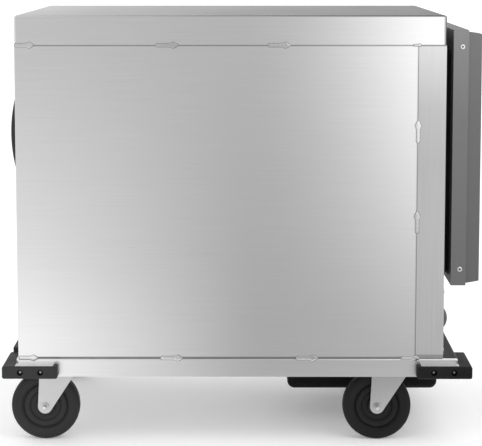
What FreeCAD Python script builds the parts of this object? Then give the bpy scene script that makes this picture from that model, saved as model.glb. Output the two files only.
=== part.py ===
import FreeCAD, Part
import Sketcher
import os
import re

# Holding and proofing cabinet on casters, in millimetres.
# +Z is up, the floor is z = 0, the door faces -Y and the origin is under the middle of the whole box.

# Driving sizes, one named cell each.
SIZES = {
    # outer case
    "body_length": 776, "body_width": 620, "overall_height": 787, "rail_bottom": 128,
    "rail_height": 35, "base_wall": 3, "base_round": 5, "step_front": 28, "step_rear": 4,
    "cap_height": 53, "cap_wall": 2, "cap_round": 4.5, "skin_wall": 1.5, "bend_round": 1.3,
    "return_width": 18, "post_width": 50, "cut_overrun": 5, "seat_gap": 0.3, "shaft_gap": 0.05,
    # heated cavity and its module
    "side_depth": 52, "cavity_bottom": 332, "roof_depth": 81, "rear_depth": 50, "liner_wall": 1.2,
    "module_width": 400, "module_length": 410, "module_depth": 116, "module_wall": 1.2,
    "module_rim": 12, "module_rear_gap": 48, "grille_wall": 1.5, "grille_lap": 5, "slot_width": 8,
    "slot_length": 70, "slot_pitch": 22, "slot_rows": 14, "slot_columns": 3, "slot_column_pitch": 115,
    "water_pan_width": 300, "water_pan_length": 165, "water_pan_depth": 62, "water_pan_wall": 1.2,
    "water_pan_rim": 10, "water_pan_front_gap": 12, "element_tube": 4,
    "humidity_ring": 55, "heater_ring": 92, "terminal_spread": 12, "terminal_radius": 3, "element_stand": 16,
    "blower_rear_gap": 112, "blower_radius": 68, "blower_height": 40, "blower_lift": 14,
    "blower_wall": 2, "blower_vanes": 24, "vane_width": 14, "vane_wall": 1.5, "blower_hub": 14,
    "blower_shaft": 4, "motor_radius": 42, "motor_height": 40,
    # pan racks
    "rack_post": 14, "rack_post_wall": 2, "rack_end_gap": 18, "rack_top_gap": 18, "rack_posts": 3,
    "ledge_width": 26, "ledge_height": 14, "ledge_wall": 1.5, "ledge_first": 26, "ledge_top_room": 40,
    "ledge_count": 5, "rack_lift": 4,
    # door
    "door_side_gap": 4, "door_top_gap": 26, "door_bottom": 297, "door_gap": 12.7, "slab_depth": 27,
    "door_wall": 1.5, "door_lip": 10, "door_skin_inset": 4, "gasket_width": 18, "gasket_lap": 4,
    "rivet_radius": 5, "rivet_height": 2, "rivet_in": 16, "rivet_from_end": 30,
    "pull_reach": 25, "pull_width": 46, "pull_draft": 8.5, "pull_round": 1.5, "pull_wall": 2.5,
    # hinges
    "hinge_height": 60, "hinge_from_end": 45, "knuckle_radius": 6, "hinge_pin": 3, "leaf_wall": 2,
    "leaf_width": 34, "pin_overhang": 2, "hinge_out": 6,
    # control panel
    "panel_wall": 2, "panel_height": 124, "panel_margin": 14, "panel_lift": 3, "control_height": 215,
    "knob_radius": 20, "knob_proud": 17.5, "knob_dome": 29, "knob_skirt": 24, "knob_skirt_height": 4,
    "knob_shaft": 3, "heat_knob_in": 120, "humidity_knob_in": 225, "stat_width": 46, "stat_depth": 38,
    "stat_height": 52, "switch_in": 315, "switch_width": 24, "switch_height": 38, "switch_depth": 28,
    "bezel_lip": 3, "bezel_proud": 3, "rocker_width": 16, "rocker_radius": 12, "rocker_proud": 6,
    "rocker_room": 0.8, "rocker_pin": 2, "rocker_tilt": 20, "pilot_in": 385, "pilot_pitch": 40,
    "pilot_radius": 6, "pilot_proud": 7, "pilot_depth": 22, "pilot_nut": 8, "pilot_nut_height": 2,
    "dial_in": 520, "dial_radius": 33, "dial_depth": 22, "dial_bezel": 4, "dial_proud": 6,
    "lens_wall": 2, "screw_radius": 4, "screw_height": 2, "screw_in": 8,
    # rear
    "handle_height": 546, "handle_chord": 280, "handle_sagitta": 38, "handle_tube": 8,
    "handle_foot": 17, "handle_foot_height": 6, "inlet_width": 56, "inlet_height": 34,
    "inlet_depth": 32, "inlet_proud": 3, "inlet_wall": 3, "inlet_in": 150, "inlet_up": 215,
    # bumpers
    "bumper_proud": 24, "bumper_height": 23.5, "bumper_bottom": 128.5, "bumper_side_leg": 101,
    "bumper_end_leg": 130, "bumper_round": 4, "front_strip_proud": 7, "rear_strip_proud": 18,
    "rear_strip_lift": 8, "front_strip_height": 15, "bumper_bolt_radius": 4,
    "bumper_hole_radius": 5.5, "bumper_hole_depth": 9, "bolt_first": 33, "bolt_pitch": 37,
    # drip pan
    "drip_width": 280, "drip_length": 313, "drip_bottom": 62, "drip_depth": 53, "drip_wall": 2.5,
    "drip_round": 14, "drip_rim": 12, "drip_forward": 21, "runner_wall": 1.5, "runner_ledge": 9,
    # casters
    "caster_side_in": 56, "caster_front_in": 82, "caster_rear_in": 79, "caster_trail": 35,
    "wheel_radius": 63.5, "wheel_width": 32, "wheel_round": 6, "wheel_hub": 17, "wheel_dish": 4,
    "wheel_dish_radius": 44, "wheel_rim_radius": 40, "wheel_hub_proud": 1, "axle_radius": 5,
    "axle_head": 7, "axle_head_height": 4, "fork_wall": 4, "fork_room": 2, "fork_eye": 13,
    "fork_back": 9, "fork_front": 57, "fork_knee": 127, "fork_slope": 33, "crown_height": 7.7,
    "caster_plate_wall": 4, "caster_plate_length": 92, "caster_plate_width": 74, "race_radius": 32,
    "race_height": 6, "kingpin_radius": 7, "kingpin_nut": 11, "kingpin_nut_height": 5.5,
    "caster_bolt_radius": 5, "caster_bolt_height": 4, "caster_bolt_long": 36, "caster_bolt_wide": 27,
}

doc = FreeCAD.newDocument("proofing_cabinet")
sheet = doc.addObject("Spreadsheet::Sheet", "Sizes")
for row, (alias, number) in enumerate(SIZES.items(), 1):
    sheet.set(f"A{row}", alias)
    sheet.set(f"B{row}", str(number))
    sheet.setAlias(f"B{row}", alias)
doc.recompute()

SUB_PARTS = []


def bound_text(text):
    """The expression with each alias written as a cell of the sheet."""
    return re.sub(r"[a-z][a-z_]+", lambda m: f"Sizes.{m[0]}" if m[0] in SIZES else m[0], str(text))


def bind(item, prop, text):
    item.setExpression(prop, bound_text(text))


def number_of(text):
    found = sheet.evalExpression(bound_text(text))
    return float(getattr(found, "Value", found))


def place(item, at, turn=None):
    """Binds the item's place, after an optional turn (axis, degrees)."""
    if turn:
        axis, degrees = turn
        item.Placement = FreeCAD.Placement(FreeCAD.Vector(), FreeCAD.Rotation(FreeCAD.Vector(*axis), degrees))
    for letter, text in zip("xyz", at):
        bind(item, f"Placement.Base.{letter}", text)
    return item


def keep(item, label):
    """Names an object as one of the sub-parts that are written out."""
    item.Label = label
    SUB_PARTS.append(item)
    return item


def box(x_span, y_span, z_span):
    """A block between two expressions on each axis."""
    block = doc.addObject("Part::Box", "block")
    for prop, (low, high) in zip(("Length", "Width", "Height"), (x_span, y_span, z_span)):
        bind(block, prop, f"({high}) - ({low})")
    return place(block, (x_span[0], y_span[0], z_span[0]))


TURNS = {"x": ((0, 1, 0), 90), "y": ((1, 0, 0), -90), "z": None}


def rod(radius, length, at, axis="z"):
    """A cylinder that starts at a point and runs up one axis."""
    cylinder = doc.addObject("Part::Cylinder", "rod")
    bind(cylinder, "Radius", radius)
    bind(cylinder, "Height", length)
    return place(cylinder, at, TURNS[axis])


def ball(radius, at, axis):
    """A sphere whose poles lie on one axis."""
    sphere = doc.addObject("Part::Sphere", "ball")
    bind(sphere, "Radius", radius)
    return place(sphere, at, TURNS[axis])


def ring(ring_radius, tube_radius, at):
    torus = doc.addObject("Part::Torus", "ring")
    bind(torus, "Radius1", ring_radius)
    bind(torus, "Radius2", tube_radius)
    return place(torus, at)


def fuse(*shapes):
    joined = doc.addObject("Part::MultiFuse", "fused")
    joined.Shapes = list(shapes)
    joined.Refine = True
    return joined


def common(shape, block):
    """What a shape and a block share."""
    shared = doc.addObject("Part::Common", "shared")
    shared.Base, shared.Tool = shape, block
    return shared


def cut(base, *tools):
    result = doc.addObject("Part::Cut", "cut")
    result.Base = base
    result.Tool = tools[0] if len(tools) == 1 else fuse(*tools)
    return result


def group(*shapes):
    """Separate solids that share one node."""
    compound = doc.addObject("Part::Compound", "group")
    compound.Links = list(shapes)
    return compound


def grown(span, by):
    return (f"({span[0]}) - ({by})", f"({span[1]}) + ({by})")


def about(middle, half):
    return (f"({middle}) - ({half})", f"({middle}) + ({half})")


def edges_of(feature, wanted):
    doc.recompute()
    return [f"Edge{n}" for n, edge in enumerate(feature.Shape.Edges, 1) if wanted(edge)]


def plane_of(body, role):
    return next(f for f in body.Origin.OriginFeatures if f.Role == role)


def sketch_on(body, role, points, lift="0"):
    """A closed outline of straight lines on an origin plane, each corner held by two bound distances."""
    sketch = body.newObject("Sketcher::SketchObject", "outline")
    sketch.AttachmentSupport = [(plane_of(body, role), "")]
    sketch.MapMode = "FlatFace"
    bind(sketch, "AttachmentOffset.Base.z", lift)
    spots = [FreeCAD.Vector(number_of(u), number_of(v), 0) for u, v in points]
    count = len(spots)
    for n in range(count):
        sketch.addGeometry(Part.LineSegment(spots[n], spots[(n + 1) % count]))
    for n in range(count):
        sketch.addConstraint(Sketcher.Constraint("Coincident", n, 2, (n + 1) % count, 1))
    for n, pair in enumerate(points):
        for kind, text, number in zip(("DistanceX", "DistanceY"), pair, (spots[n].x, spots[n].y)):
            held = sketch.addConstraint(Sketcher.Constraint(kind, -1, 1, n, 1, number))
            bind(sketch, f"Constraints[{held}]", text)
    return sketch


def circle_on(body, role, radius, at=("0", "0"), lift="0"):
    """A circle on an origin plane, with its centre and radius bound."""
    sketch = body.newObject("Sketcher::SketchObject", "circle")
    sketch.AttachmentSupport = [(plane_of(body, role), "")]
    sketch.MapMode = "FlatFace"
    bind(sketch, "AttachmentOffset.Base.z", lift)
    centre = FreeCAD.Vector(number_of(at[0]), number_of(at[1]), 0)
    sketch.addGeometry(Part.Circle(centre, FreeCAD.Vector(0, 0, 1), number_of(radius)))
    held = [("Radius", (0, number_of(radius)), radius),
            ("DistanceX", (-1, 1, 0, 3, centre.x), at[0]),
            ("DistanceY", (-1, 1, 0, 3, centre.y), at[1])]
    for kind, values, text in held:
        spot = sketch.addConstraint(Sketcher.Constraint(kind, *values))
        bind(sketch, f"Constraints[{spot}]", text)
    return sketch


def rectangle(u_span, v_span):
    return [(u_span[0], v_span[0]), (u_span[1], v_span[0]), (u_span[1], v_span[1]), (u_span[0], v_span[1])]


def pad(body, sketch, length, back=False):
    feature = body.newObject("PartDesign::Pad", "pad")
    feature.Profile = sketch
    feature.Reversed = back
    bind(feature, "Length", length)
    return feature


def pocket(body, sketch, depth, back=False):
    """A pocket that must take material away."""
    doc.recompute()
    before = body.Shape.Volume
    feature = body.newObject("PartDesign::Pocket", "pocket")
    feature.Profile = sketch
    feature.Reversed = back
    bind(feature, "Length", depth)
    doc.recompute()
    if body.Shape.Volume >= before:
        raise RuntimeError("a pocket of " + body.Label + " cuts nothing")
    return feature


def round_edges(body, feature, radius, wanted):
    fillet = body.newObject("PartDesign::Fillet", "fillet")
    fillet.Base = (feature, edges_of(feature, wanted))
    bind(fillet, "Radius", radius)
    return fillet


def new_body(label):
    return keep(doc.addObject("PartDesign::Body", "body"), label)


def turned(body, points):
    """A solid of revolution about the body's own X axis, from (along, radius) points."""
    sketch = sketch_on(body, "XY_Plane", points)
    feature = body.newObject("PartDesign::Revolution", "turned")
    feature.Profile = sketch
    feature.ReferenceAxis = (sketch, ["H_Axis"])
    feature.Angle = 360
    return feature


def upright(edge):
    first, last = edge.Vertexes[0].Point, edge.Vertexes[-1].Point
    rise = abs(first.z - last.z)
    return first.sub(last).Length > 0 and rise > abs(first.x - last.x) + abs(first.y - last.y)


def level_at(height):
    """Picks the edges that lie wholly at one height."""
    def wanted(edge):
        level, slack = number_of(height), number_of("seat_gap / 100")
        return abs(edge.BoundBox.ZMin - level) < slack and abs(edge.BoundBox.ZMax - level) < slack
    return wanted


# Reference planes that several pieces share.
HANDLE_REACH = "(handle_sagitta + handle_tube)"
BODY_FRONT = f"((door_gap + slab_depth + pull_reach - {HANDLE_REACH}) / 2 - body_length / 2)"
BODY_REAR = f"({BODY_FRONT} + body_length)"
BASE_FRONT = f"({BODY_FRONT} - step_front)"
BASE_REAR = f"({BODY_REAR} + step_rear)"
POST_BACK = f"({BODY_FRONT} + post_width)"
SIDE = "(body_width / 2)"
RAIL_TOP = "(rail_bottom + rail_height)"
CAP_BOTTOM = "(overall_height - cap_height)"
CAVITY_TOP = "(overall_height - roof_depth)"
CAVITY_REAR = f"({BODY_REAR} - rear_depth)"
CAVITY_HALF = f"({SIDE} - side_depth)"
LINER_HALF = f"({CAVITY_HALF} + liner_wall)"
CAVITY_X = (f"-{CAVITY_HALF}", CAVITY_HALF)
CAVITY_Z = ("cavity_bottom", CAVITY_TOP)
BODY_X = (f"-{SIDE}", SIDE)


def from_side(sign, wall, near, far):
    """The X span between two distances inward of the wall on one side."""
    low, high = (f"-({wall}) + ({near})", f"-({wall}) + ({far})")
    return (low, high) if sign < 0 else (f"({wall}) - ({far})", f"({wall}) - ({near})")


def signed(sign, text):
    return f"-({text})" if sign < 0 else f"({text})"


def make_base():
    """The folded base pan that the casters, bumpers and case stand on."""
    y_span = (BASE_FRONT, BASE_REAR)
    base = new_body("base_pan")
    block = pad(base, sketch_on(base, "XY_Plane", rectangle(BODY_X, y_span), "rail_bottom"), "rail_height")
    at_top = level_at(RAIL_TOP)
    round_edges(base, block, "base_round", lambda edge: upright(edge) or at_top(edge))
    inside = rectangle(grown(BODY_X, "-base_wall"), grown(y_span, "-base_wall"))
    pocket(base, sketch_on(base, "XY_Plane", inside, "rail_bottom"), "rail_height - base_wall", back=True)


def make_case():
    """Side panels with folded returns, rear panel, top cap and the hollow door frame."""
    y_span = (POST_BACK, BODY_REAR)
    z_span = (RAIL_TOP, CAP_BOTTOM)
    for sign, name in ((-1, "left"), (1, "right")):
        panel = new_body(f"side_panel_{name}")
        face = signed(sign, SIDE)
        outline = sketch_on(panel, "YZ_Plane", rectangle(y_span, z_span), face)
        block = pad(panel, outline, "return_width", back=sign > 0)
        outside = number_of(SIDE) - number_of("bend_round")
        round_edges(panel, block, "bend_round", lambda edge: abs(edge.CenterOfMass.x) > outside)
        inside = rectangle(grown(y_span, "-skin_wall"), grown(z_span, "-skin_wall"))
        mouth = signed(sign, f"{SIDE} - return_width")
        pocket(panel, sketch_on(panel, "YZ_Plane", inside, mouth), "return_width - skin_wall", back=sign > 0)

    rear_x = grown(BODY_X, "-return_width")
    panel = box(rear_x, (f"{BODY_REAR} - skin_wall", BODY_REAR), z_span)
    keep(cut(panel, inlet_hole()), "rear_panel")

    cap = new_body("top_cap")
    case_y = (BODY_FRONT, BODY_REAR)
    block = pad(cap, sketch_on(cap, "XY_Plane", rectangle(BODY_X, case_y), CAP_BOTTOM), "cap_height")
    at_top = level_at("overall_height")
    round_edges(cap, block, "cap_round", lambda edge: upright(edge) or at_top(edge))
    hollow = rectangle(grown(BODY_X, "-cap_wall"), grown(case_y, "-cap_wall"))
    shell = pocket(cap, sketch_on(cap, "XY_Plane", hollow, CAP_BOTTOM), "cap_height - cap_wall", back=True)
    at_seam = level_at(CAP_BOTTOM)
    inner_x, inner_y = number_of(f"{SIDE} - cap_wall / 2"), number_of(f"{BODY_REAR} - cap_wall / 2")
    inner_front = number_of(f"{BODY_FRONT} + cap_wall / 2")

    def outer_seam(edge):
        spot = edge.CenterOfMass
        return at_seam(edge) and (abs(spot.x) > inner_x or spot.y > inner_y or spot.y < inner_front)

    round_edges(cap, shell, "bend_round", outer_seam)

    frame_y = (BODY_FRONT, POST_BACK)
    channel = cut(box(BODY_X, frame_y, z_span),
                  box(grown(BODY_X, "-skin_wall"),
                      (f"{BODY_FRONT} + skin_wall", f"{POST_BACK} + cut_overrun"),
                      grown(z_span, "-skin_wall")))
    sleeve = box(grown(CAVITY_X, "skin_wall"), frame_y, grown(CAVITY_Z, "skin_wall"))
    doorway = box(CAVITY_X, grown(frame_y, "cut_overrun"), CAVITY_Z)
    hole_z = (f"{RAIL_TOP} + panel_lift + panel_margin",
              f"{RAIL_TOP} + panel_lift + panel_height - panel_margin")
    panel_hole = box(CAVITY_X, (f"{BODY_FRONT} - cut_overrun", f"{BODY_FRONT} + cut_overrun"), hole_z)
    whole = cut(fuse(channel, sleeve), doorway, panel_hole)
    stiles = [(from_side(sign, SIDE, "0", "side_depth"), z_span) for sign in (-1, 1)]
    rails = [(CAVITY_X, (z_span[0], hole_z[0])), (CAVITY_X, (hole_z[1], "cavity_bottom")),
             (CAVITY_X, (CAVITY_TOP, z_span[1]))]
    lengths = [common(whole, box(x_run, frame_y, z_run)) for x_run, z_run in stiles + rails]
    keep(group(*lengths), "front_frame")


MODULE_TOP = "(cavity_bottom - liner_wall)"
MODULE_FLOOR = f"({MODULE_TOP} - module_depth)"
MODULE_X = ("-module_width / 2", "module_width / 2")
MODULE_Y = (f"{CAVITY_REAR} - module_rear_gap - module_length", f"{CAVITY_REAR} - module_rear_gap")
MODULE_MID = f"({CAVITY_REAR} - module_rear_gap - module_length / 2)"
BLOWER_Y = f"({CAVITY_REAR} - module_rear_gap - blower_rear_gap)"
WATER_Y = (f"{MODULE_Y[0]} + water_pan_front_gap", f"{MODULE_Y[0]} + water_pan_front_gap + water_pan_length")
WATER_MID = f"({MODULE_Y[0]} + water_pan_front_gap + water_pan_length / 2)"
ELEMENT_Z = f"({MODULE_FLOOR} + module_wall + element_stand)"


def terminals(ring_radius, y_middle, radius):
    """The two straight ends of a ring element, down through the module's floor."""
    reach = f"sqrt(pow({ring_radius}; 2) - pow(terminal_spread; 2))"
    low = f"({MODULE_FLOOR} - element_stand)"
    return [rod(radius, f"{ELEMENT_Z} - {low}", (f"{side}terminal_spread", f"{y_middle} - {reach}", low))
            for side in ("-", "")]


def folded_tub(label, x_span, y_span, z_span, wall, rim, holes=()):
    """An open tub folded from sheet: a floor and four rimmed sides, welded at the corners."""
    rim_x, rim_y = grown(x_span, rim), grown(y_span, rim)
    well_x, well_y = grown(x_span, f"-{wall}"), grown(y_span, f"-{wall}")
    low, top = z_span
    whole = fuse(box(x_span, y_span, z_span), box(rim_x, rim_y, (f"{top} - {wall}", top)))
    tub = cut(whole, box(well_x, well_y, (f"{low} + {wall}", f"{top} + cut_overrun")), *holes)
    sheets = [((rim_x[0], well_x[0]), rim_y), ((well_x[1], rim_x[1]), rim_y), (well_x, (rim_y[0], well_y[0])),
              (well_x, (well_y[1], rim_y[1])), (well_x, well_y)]
    keep(group(*[common(tub, box(x_run, y_run, z_span)) for x_run, y_run in sheets]), label)


def make_cavity():
    """The liner, its insulation, the heat module under it and the slotted floor."""
    outer = box((f"-{LINER_HALF}", LINER_HALF), (POST_BACK, f"{CAVITY_REAR} + liner_wall"),
                grown(CAVITY_Z, "liner_wall"))
    inner = box(CAVITY_X, (f"{POST_BACK} - cut_overrun", CAVITY_REAR), CAVITY_Z)
    floor_hole = box(grown(MODULE_X, "-module_wall"), grown(MODULE_Y, "-module_wall"),
                     (f"{MODULE_TOP} - cut_overrun", "cavity_bottom + cut_overrun"))
    keep(cut(outer, inner, floor_hole), "liner")

    side_y = (f"{POST_BACK} + skin_wall", f"{BODY_REAR} - skin_wall")
    side_z = (MODULE_TOP, f"{CAP_BOTTOM} - skin_wall")
    batts = [box(from_side(sign, SIDE, "skin_wall", f"{SIDE} - {LINER_HALF}"), side_y, side_z)
             for sign in (-1, 1)]
    liner_x = (f"-{LINER_HALF}", LINER_HALF)
    batts.append(box(liner_x, (f"{CAVITY_REAR} + liner_wall", f"{BODY_REAR} - skin_wall"),
                     (MODULE_TOP, f"{CAVITY_TOP} + liner_wall")))
    batts.append(box(liner_x, (POST_BACK, f"{CAVITY_REAR} + liner_wall"),
                     (f"{CAVITY_TOP} + liner_wall", "overall_height - cap_wall")))
    keep(group(*batts), "insulation_batts")

    holes = [rod("blower_shaft + shaft_gap", "module_depth",
                 ("0", BLOWER_Y, f"{MODULE_FLOOR} - cut_overrun"))]
    holes += terminals("humidity_ring", WATER_MID, "terminal_radius + shaft_gap")
    holes += terminals("heater_ring", BLOWER_Y, "terminal_radius + shaft_gap")
    folded_tub("module_box", MODULE_X, MODULE_Y, (MODULE_FLOOR, MODULE_TOP), "module_wall", "module_rim",
               holes)
    pan_low = f"({ELEMENT_Z} + element_tube + seat_gap)"
    folded_tub("water_pan", ("-water_pan_width / 2", "water_pan_width / 2"), WATER_Y,
               (pan_low, f"{pan_low} + water_pan_depth"), "water_pan_wall", "water_pan_rim")

    keep(fuse(ring("humidity_ring", "element_tube", ("0", WATER_MID, ELEMENT_Z)),
              *terminals("humidity_ring", WATER_MID, "terminal_radius")), "humidity_element")
    keep(fuse(ring("heater_ring", "element_tube", ("0", BLOWER_Y, ELEMENT_Z)),
              *terminals("heater_ring", BLOWER_Y, "terminal_radius")), "air_heater")

    plate = box(grown(MODULE_X, "grille_lap"), grown(MODULE_Y, "grille_lap"),
                ("cavity_bottom", "cavity_bottom + grille_wall"))
    slots = []
    rows, columns = int(number_of("slot_rows")), int(number_of("slot_columns"))
    for row in range(rows):
        for column in range(columns):
            x_mid = f"({2 * column - columns + 1} * slot_column_pitch / 2)"
            y_mid = f"({MODULE_MID} + {2 * row - rows + 1} * slot_pitch / 2)"
            slots.append(box(about(x_mid, "slot_length / 2"), about(y_mid, "slot_width / 2"),
                             ("cavity_bottom - cut_overrun", "cavity_bottom + grille_wall + cut_overrun")))
    keep(cut(plate, *slots), "floor_grille")


def make_tray(label, x_span, y_span, bottom, depth, wall, rim, radius):
    """A drawn tray with rounded corners and a flat rim."""
    tray = new_body(label)
    top = f"({bottom} + {depth})"
    pad(tray, sketch_on(tray, "XY_Plane", rectangle(x_span, y_span), bottom), depth)
    lip = rectangle(grown(x_span, rim), grown(y_span, rim))
    pad(tray, sketch_on(tray, "XY_Plane", lip, f"{top} - {wall}"), wall)
    inside = rectangle(grown(x_span, f"-({wall})"), grown(y_span, f"-({wall})"))
    hollow = pocket(tray, sketch_on(tray, "XY_Plane", inside, top), f"{depth} - {wall}")
    slack = number_of("seat_gap")
    half_x = number_of(f"(({x_span[1]}) - ({x_span[0]})) / 2 - ({wall})")
    low, high = number_of(f"{y_span[0]} + {wall}"), number_of(f"{y_span[1]} - ({wall})")

    def inner(edge):
        spot = edge.CenterOfMass
        level = abs(edge.BoundBox.ZMax - number_of(f"{bottom} + {wall}")) < slack
        within = abs(spot.x) < half_x + slack and low - slack < spot.y < high + slack
        return within and (level or upright(edge))

    def outer(edge):
        spot = edge.CenterOfMass
        below_rim = edge.BoundBox.ZMax < number_of(f"{top} - {wall}") + slack
        on_wall = abs(spot.x) > half_x + slack or not low - slack < spot.y < high + slack
        return on_wall and below_rim and (upright(edge) or edge.BoundBox.ZMax < number_of(bottom) + slack)

    soft = round_edges(tray, hollow, f"{radius} - {wall}", inner)
    round_edges(tray, soft, radius, outer)


def make_blower():
    """Motor under the module's floor, and the wheel with its shaft, which turns."""
    hub_z = f"({MODULE_FLOOR} + module_wall + blower_lift)"
    case = rod("motor_radius", "motor_height", ("0", BLOWER_Y, f"{MODULE_FLOOR} - motor_height"))
    bore = rod("blower_shaft + shaft_gap", "motor_height * 2",
               ("0", BLOWER_Y, f"{MODULE_FLOOR} - motor_height / 2"))
    keep(cut(case, bore), "blower_motor")

    wheel = new_body("blower_wheel")
    pad(wheel, circle_on(wheel, "XY_Plane", "blower_radius"), "blower_wall")
    blade = rectangle(("blower_radius - vane_width", "blower_radius"), ("-vane_wall / 2", "vane_wall / 2"))
    vane = pad(wheel, sketch_on(wheel, "XY_Plane", blade, "blower_wall"), "blower_height")
    doc.recompute()
    fan = wheel.newObject("PartDesign::PolarPattern", "vanes")
    fan.Originals = [vane]
    fan.Axis = (vane.Profile[0], ["N_Axis"])
    bind(fan, "Occurrences", "blower_vanes")
    wheel.Tip = fan
    doc.recompute()
    pad(wheel, circle_on(wheel, "XY_Plane", "blower_hub"), "blower_height")
    shaft_low = "(-blower_lift - module_wall - motor_height / 2 + seat_gap)"
    pad(wheel, circle_on(wheel, "XY_Plane", "blower_shaft", lift=shaft_low), f"blower_wall - {shaft_low}")
    place(wheel, ("0", BLOWER_Y, hub_z))


def make_racks():
    """A ladder of pan ledges on each wall of the cavity."""
    low = "(cavity_bottom + rack_lift)"
    middle = f"(({POST_BACK} + {CAVITY_REAR}) / 2)"
    rack_length = f"({CAVITY_REAR} - {POST_BACK} - 2 * rack_end_gap)"
    rack_height = f"({CAVITY_TOP} - cavity_bottom - rack_lift - rack_top_gap)"
    pitch = f"(({rack_height} - ledge_first - ledge_height - ledge_top_room) / (ledge_count - 1))"
    posts = int(number_of("rack_posts"))
    for sign, name in ((-1, "left"), (1, "right")):
        pieces = []
        for n in range(posts):
            y_mid = f"({middle} + {2 * n - posts + 1} / {posts - 1} * ({rack_length} - rack_post) / 2)"
            pieces.append(box(from_side(sign, CAVITY_HALF, "0", "rack_post_wall"),
                              about(y_mid, "rack_post / 2"), (low, f"{low} + {rack_height}")))
        for n in range(int(number_of("ledge_count"))):
            z_low = f"({low} + ledge_first + {n} * {pitch})"
            run = about(middle, f"{rack_length} / 2")
            web = from_side(sign, CAVITY_HALF, "rack_post_wall", "rack_post_wall + ledge_wall")
            shelf = from_side(sign, CAVITY_HALF, "rack_post_wall", "rack_post_wall + ledge_width")
            pieces.append(box(web, run, (z_low, f"{z_low} + ledge_height")))
            pieces.append(box(shelf, run, (z_low, f"{z_low} + ledge_wall")))
        keep(fuse(*pieces), f"pan_rack_{name}")


SLAB_BACK = f"({BODY_FRONT} - door_gap)"
SLAB_FRONT = f"({SLAB_BACK} - slab_depth)"
SKIN_FRONT = f"({SLAB_FRONT} - door_wall)"
DOOR_FACE = f"({SLAB_FRONT} - pull_reach)"
DOOR_HALF = f"({SIDE} - door_side_gap)"
DOOR_TOP = "(overall_height - door_top_gap)"
DOOR_X = (f"-{DOOR_HALF}", DOOR_HALF)
DOOR_Z = ("door_bottom", DOOR_TOP)
PULL_X = (f"-{DOOR_HALF} + door_skin_inset", f"-{DOOR_HALF} + door_skin_inset + pull_width")
HINGE_X = f"({SIDE} + hinge_out)"
HINGE_Y = f"({BODY_FRONT} - door_gap / 2)"
HINGE_STARTS = ("(door_bottom + hinge_from_end)", f"({CAP_BOTTOM} - hinge_from_end - hinge_height)")


def make_door():
    """Insulated door: slab with a folded lip, core, flat skin, full-height pull, seal and rivets."""
    slab_y = (SLAB_FRONT, SLAB_BACK)
    core_x, core_z = grown(DOOR_X, "-door_wall"), grown(DOOR_Z, "-door_wall")
    core_y = (f"{SLAB_FRONT} + door_wall", f"{SLAB_BACK} - door_wall")
    mouth = box(grown(DOOR_X, "-door_lip"), (f"{SLAB_FRONT} - cut_overrun", f"{SLAB_FRONT} + cut_overrun"),
                grown(DOOR_Z, "-door_lip"))
    keep(cut(box(DOOR_X, slab_y, DOOR_Z), box(core_x, core_y, core_z), mouth), "door_inner_pan")
    keep(box(core_x, core_y, core_z), "door_insulation")

    skin_z = grown(DOOR_Z, "-door_skin_inset")
    keep(box(grown(DOOR_X, "-door_skin_inset"), (SKIN_FRONT, SLAB_FRONT), skin_z), "door_skin")

    bar = doc.addObject("PartDesign::Body", "pull_bar")
    block = pad(bar, sketch_on(bar, "XZ_Plane", rectangle(PULL_X, skin_z), f"-{SKIN_FRONT}"),
                "pull_reach - door_wall")
    bind(block, "TaperAngle", "-pull_draft")
    front = number_of(DOOR_FACE)
    slack = number_of("seat_gap")
    round_edges(bar, block, "pull_round", lambda edge: abs(edge.BoundBox.YMax - front) < slack)
    shell = "(pull_wall + pull_reach * tan(pull_draft))"
    grip = box((f"{PULL_X[0]} + {shell}", f"{PULL_X[1]} + cut_overrun"),
               (f"{DOOR_FACE} + pull_wall", f"{SKIN_FRONT} + cut_overrun"), grown(skin_z, f"-{shell}"))
    keep(cut(bar, grip), "door_pull")

    seal_y = (SLAB_BACK, BODY_FRONT)
    seal = box(grown(CAVITY_X, "gasket_lap + gasket_width"), seal_y,
               grown(CAVITY_Z, "gasket_lap + gasket_width"))
    mouth = box(grown(CAVITY_X, "gasket_lap"), grown(seal_y, "cut_overrun"), grown(CAVITY_Z, "gasket_lap"))
    keep(cut(seal, mouth), "door_gasket")

    heads = []
    for z_at in ("door_bottom + rivet_from_end", f"{DOOR_TOP} - rivet_from_end"):
        for x_at in (f"-{DOOR_HALF} - rivet_height", DOOR_HALF):
            heads.append(rod("rivet_radius", "rivet_height", (x_at, f"{SLAB_BACK} - rivet_in", z_at), "x"))
    keep(group(*heads), "door_rivets")


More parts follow.
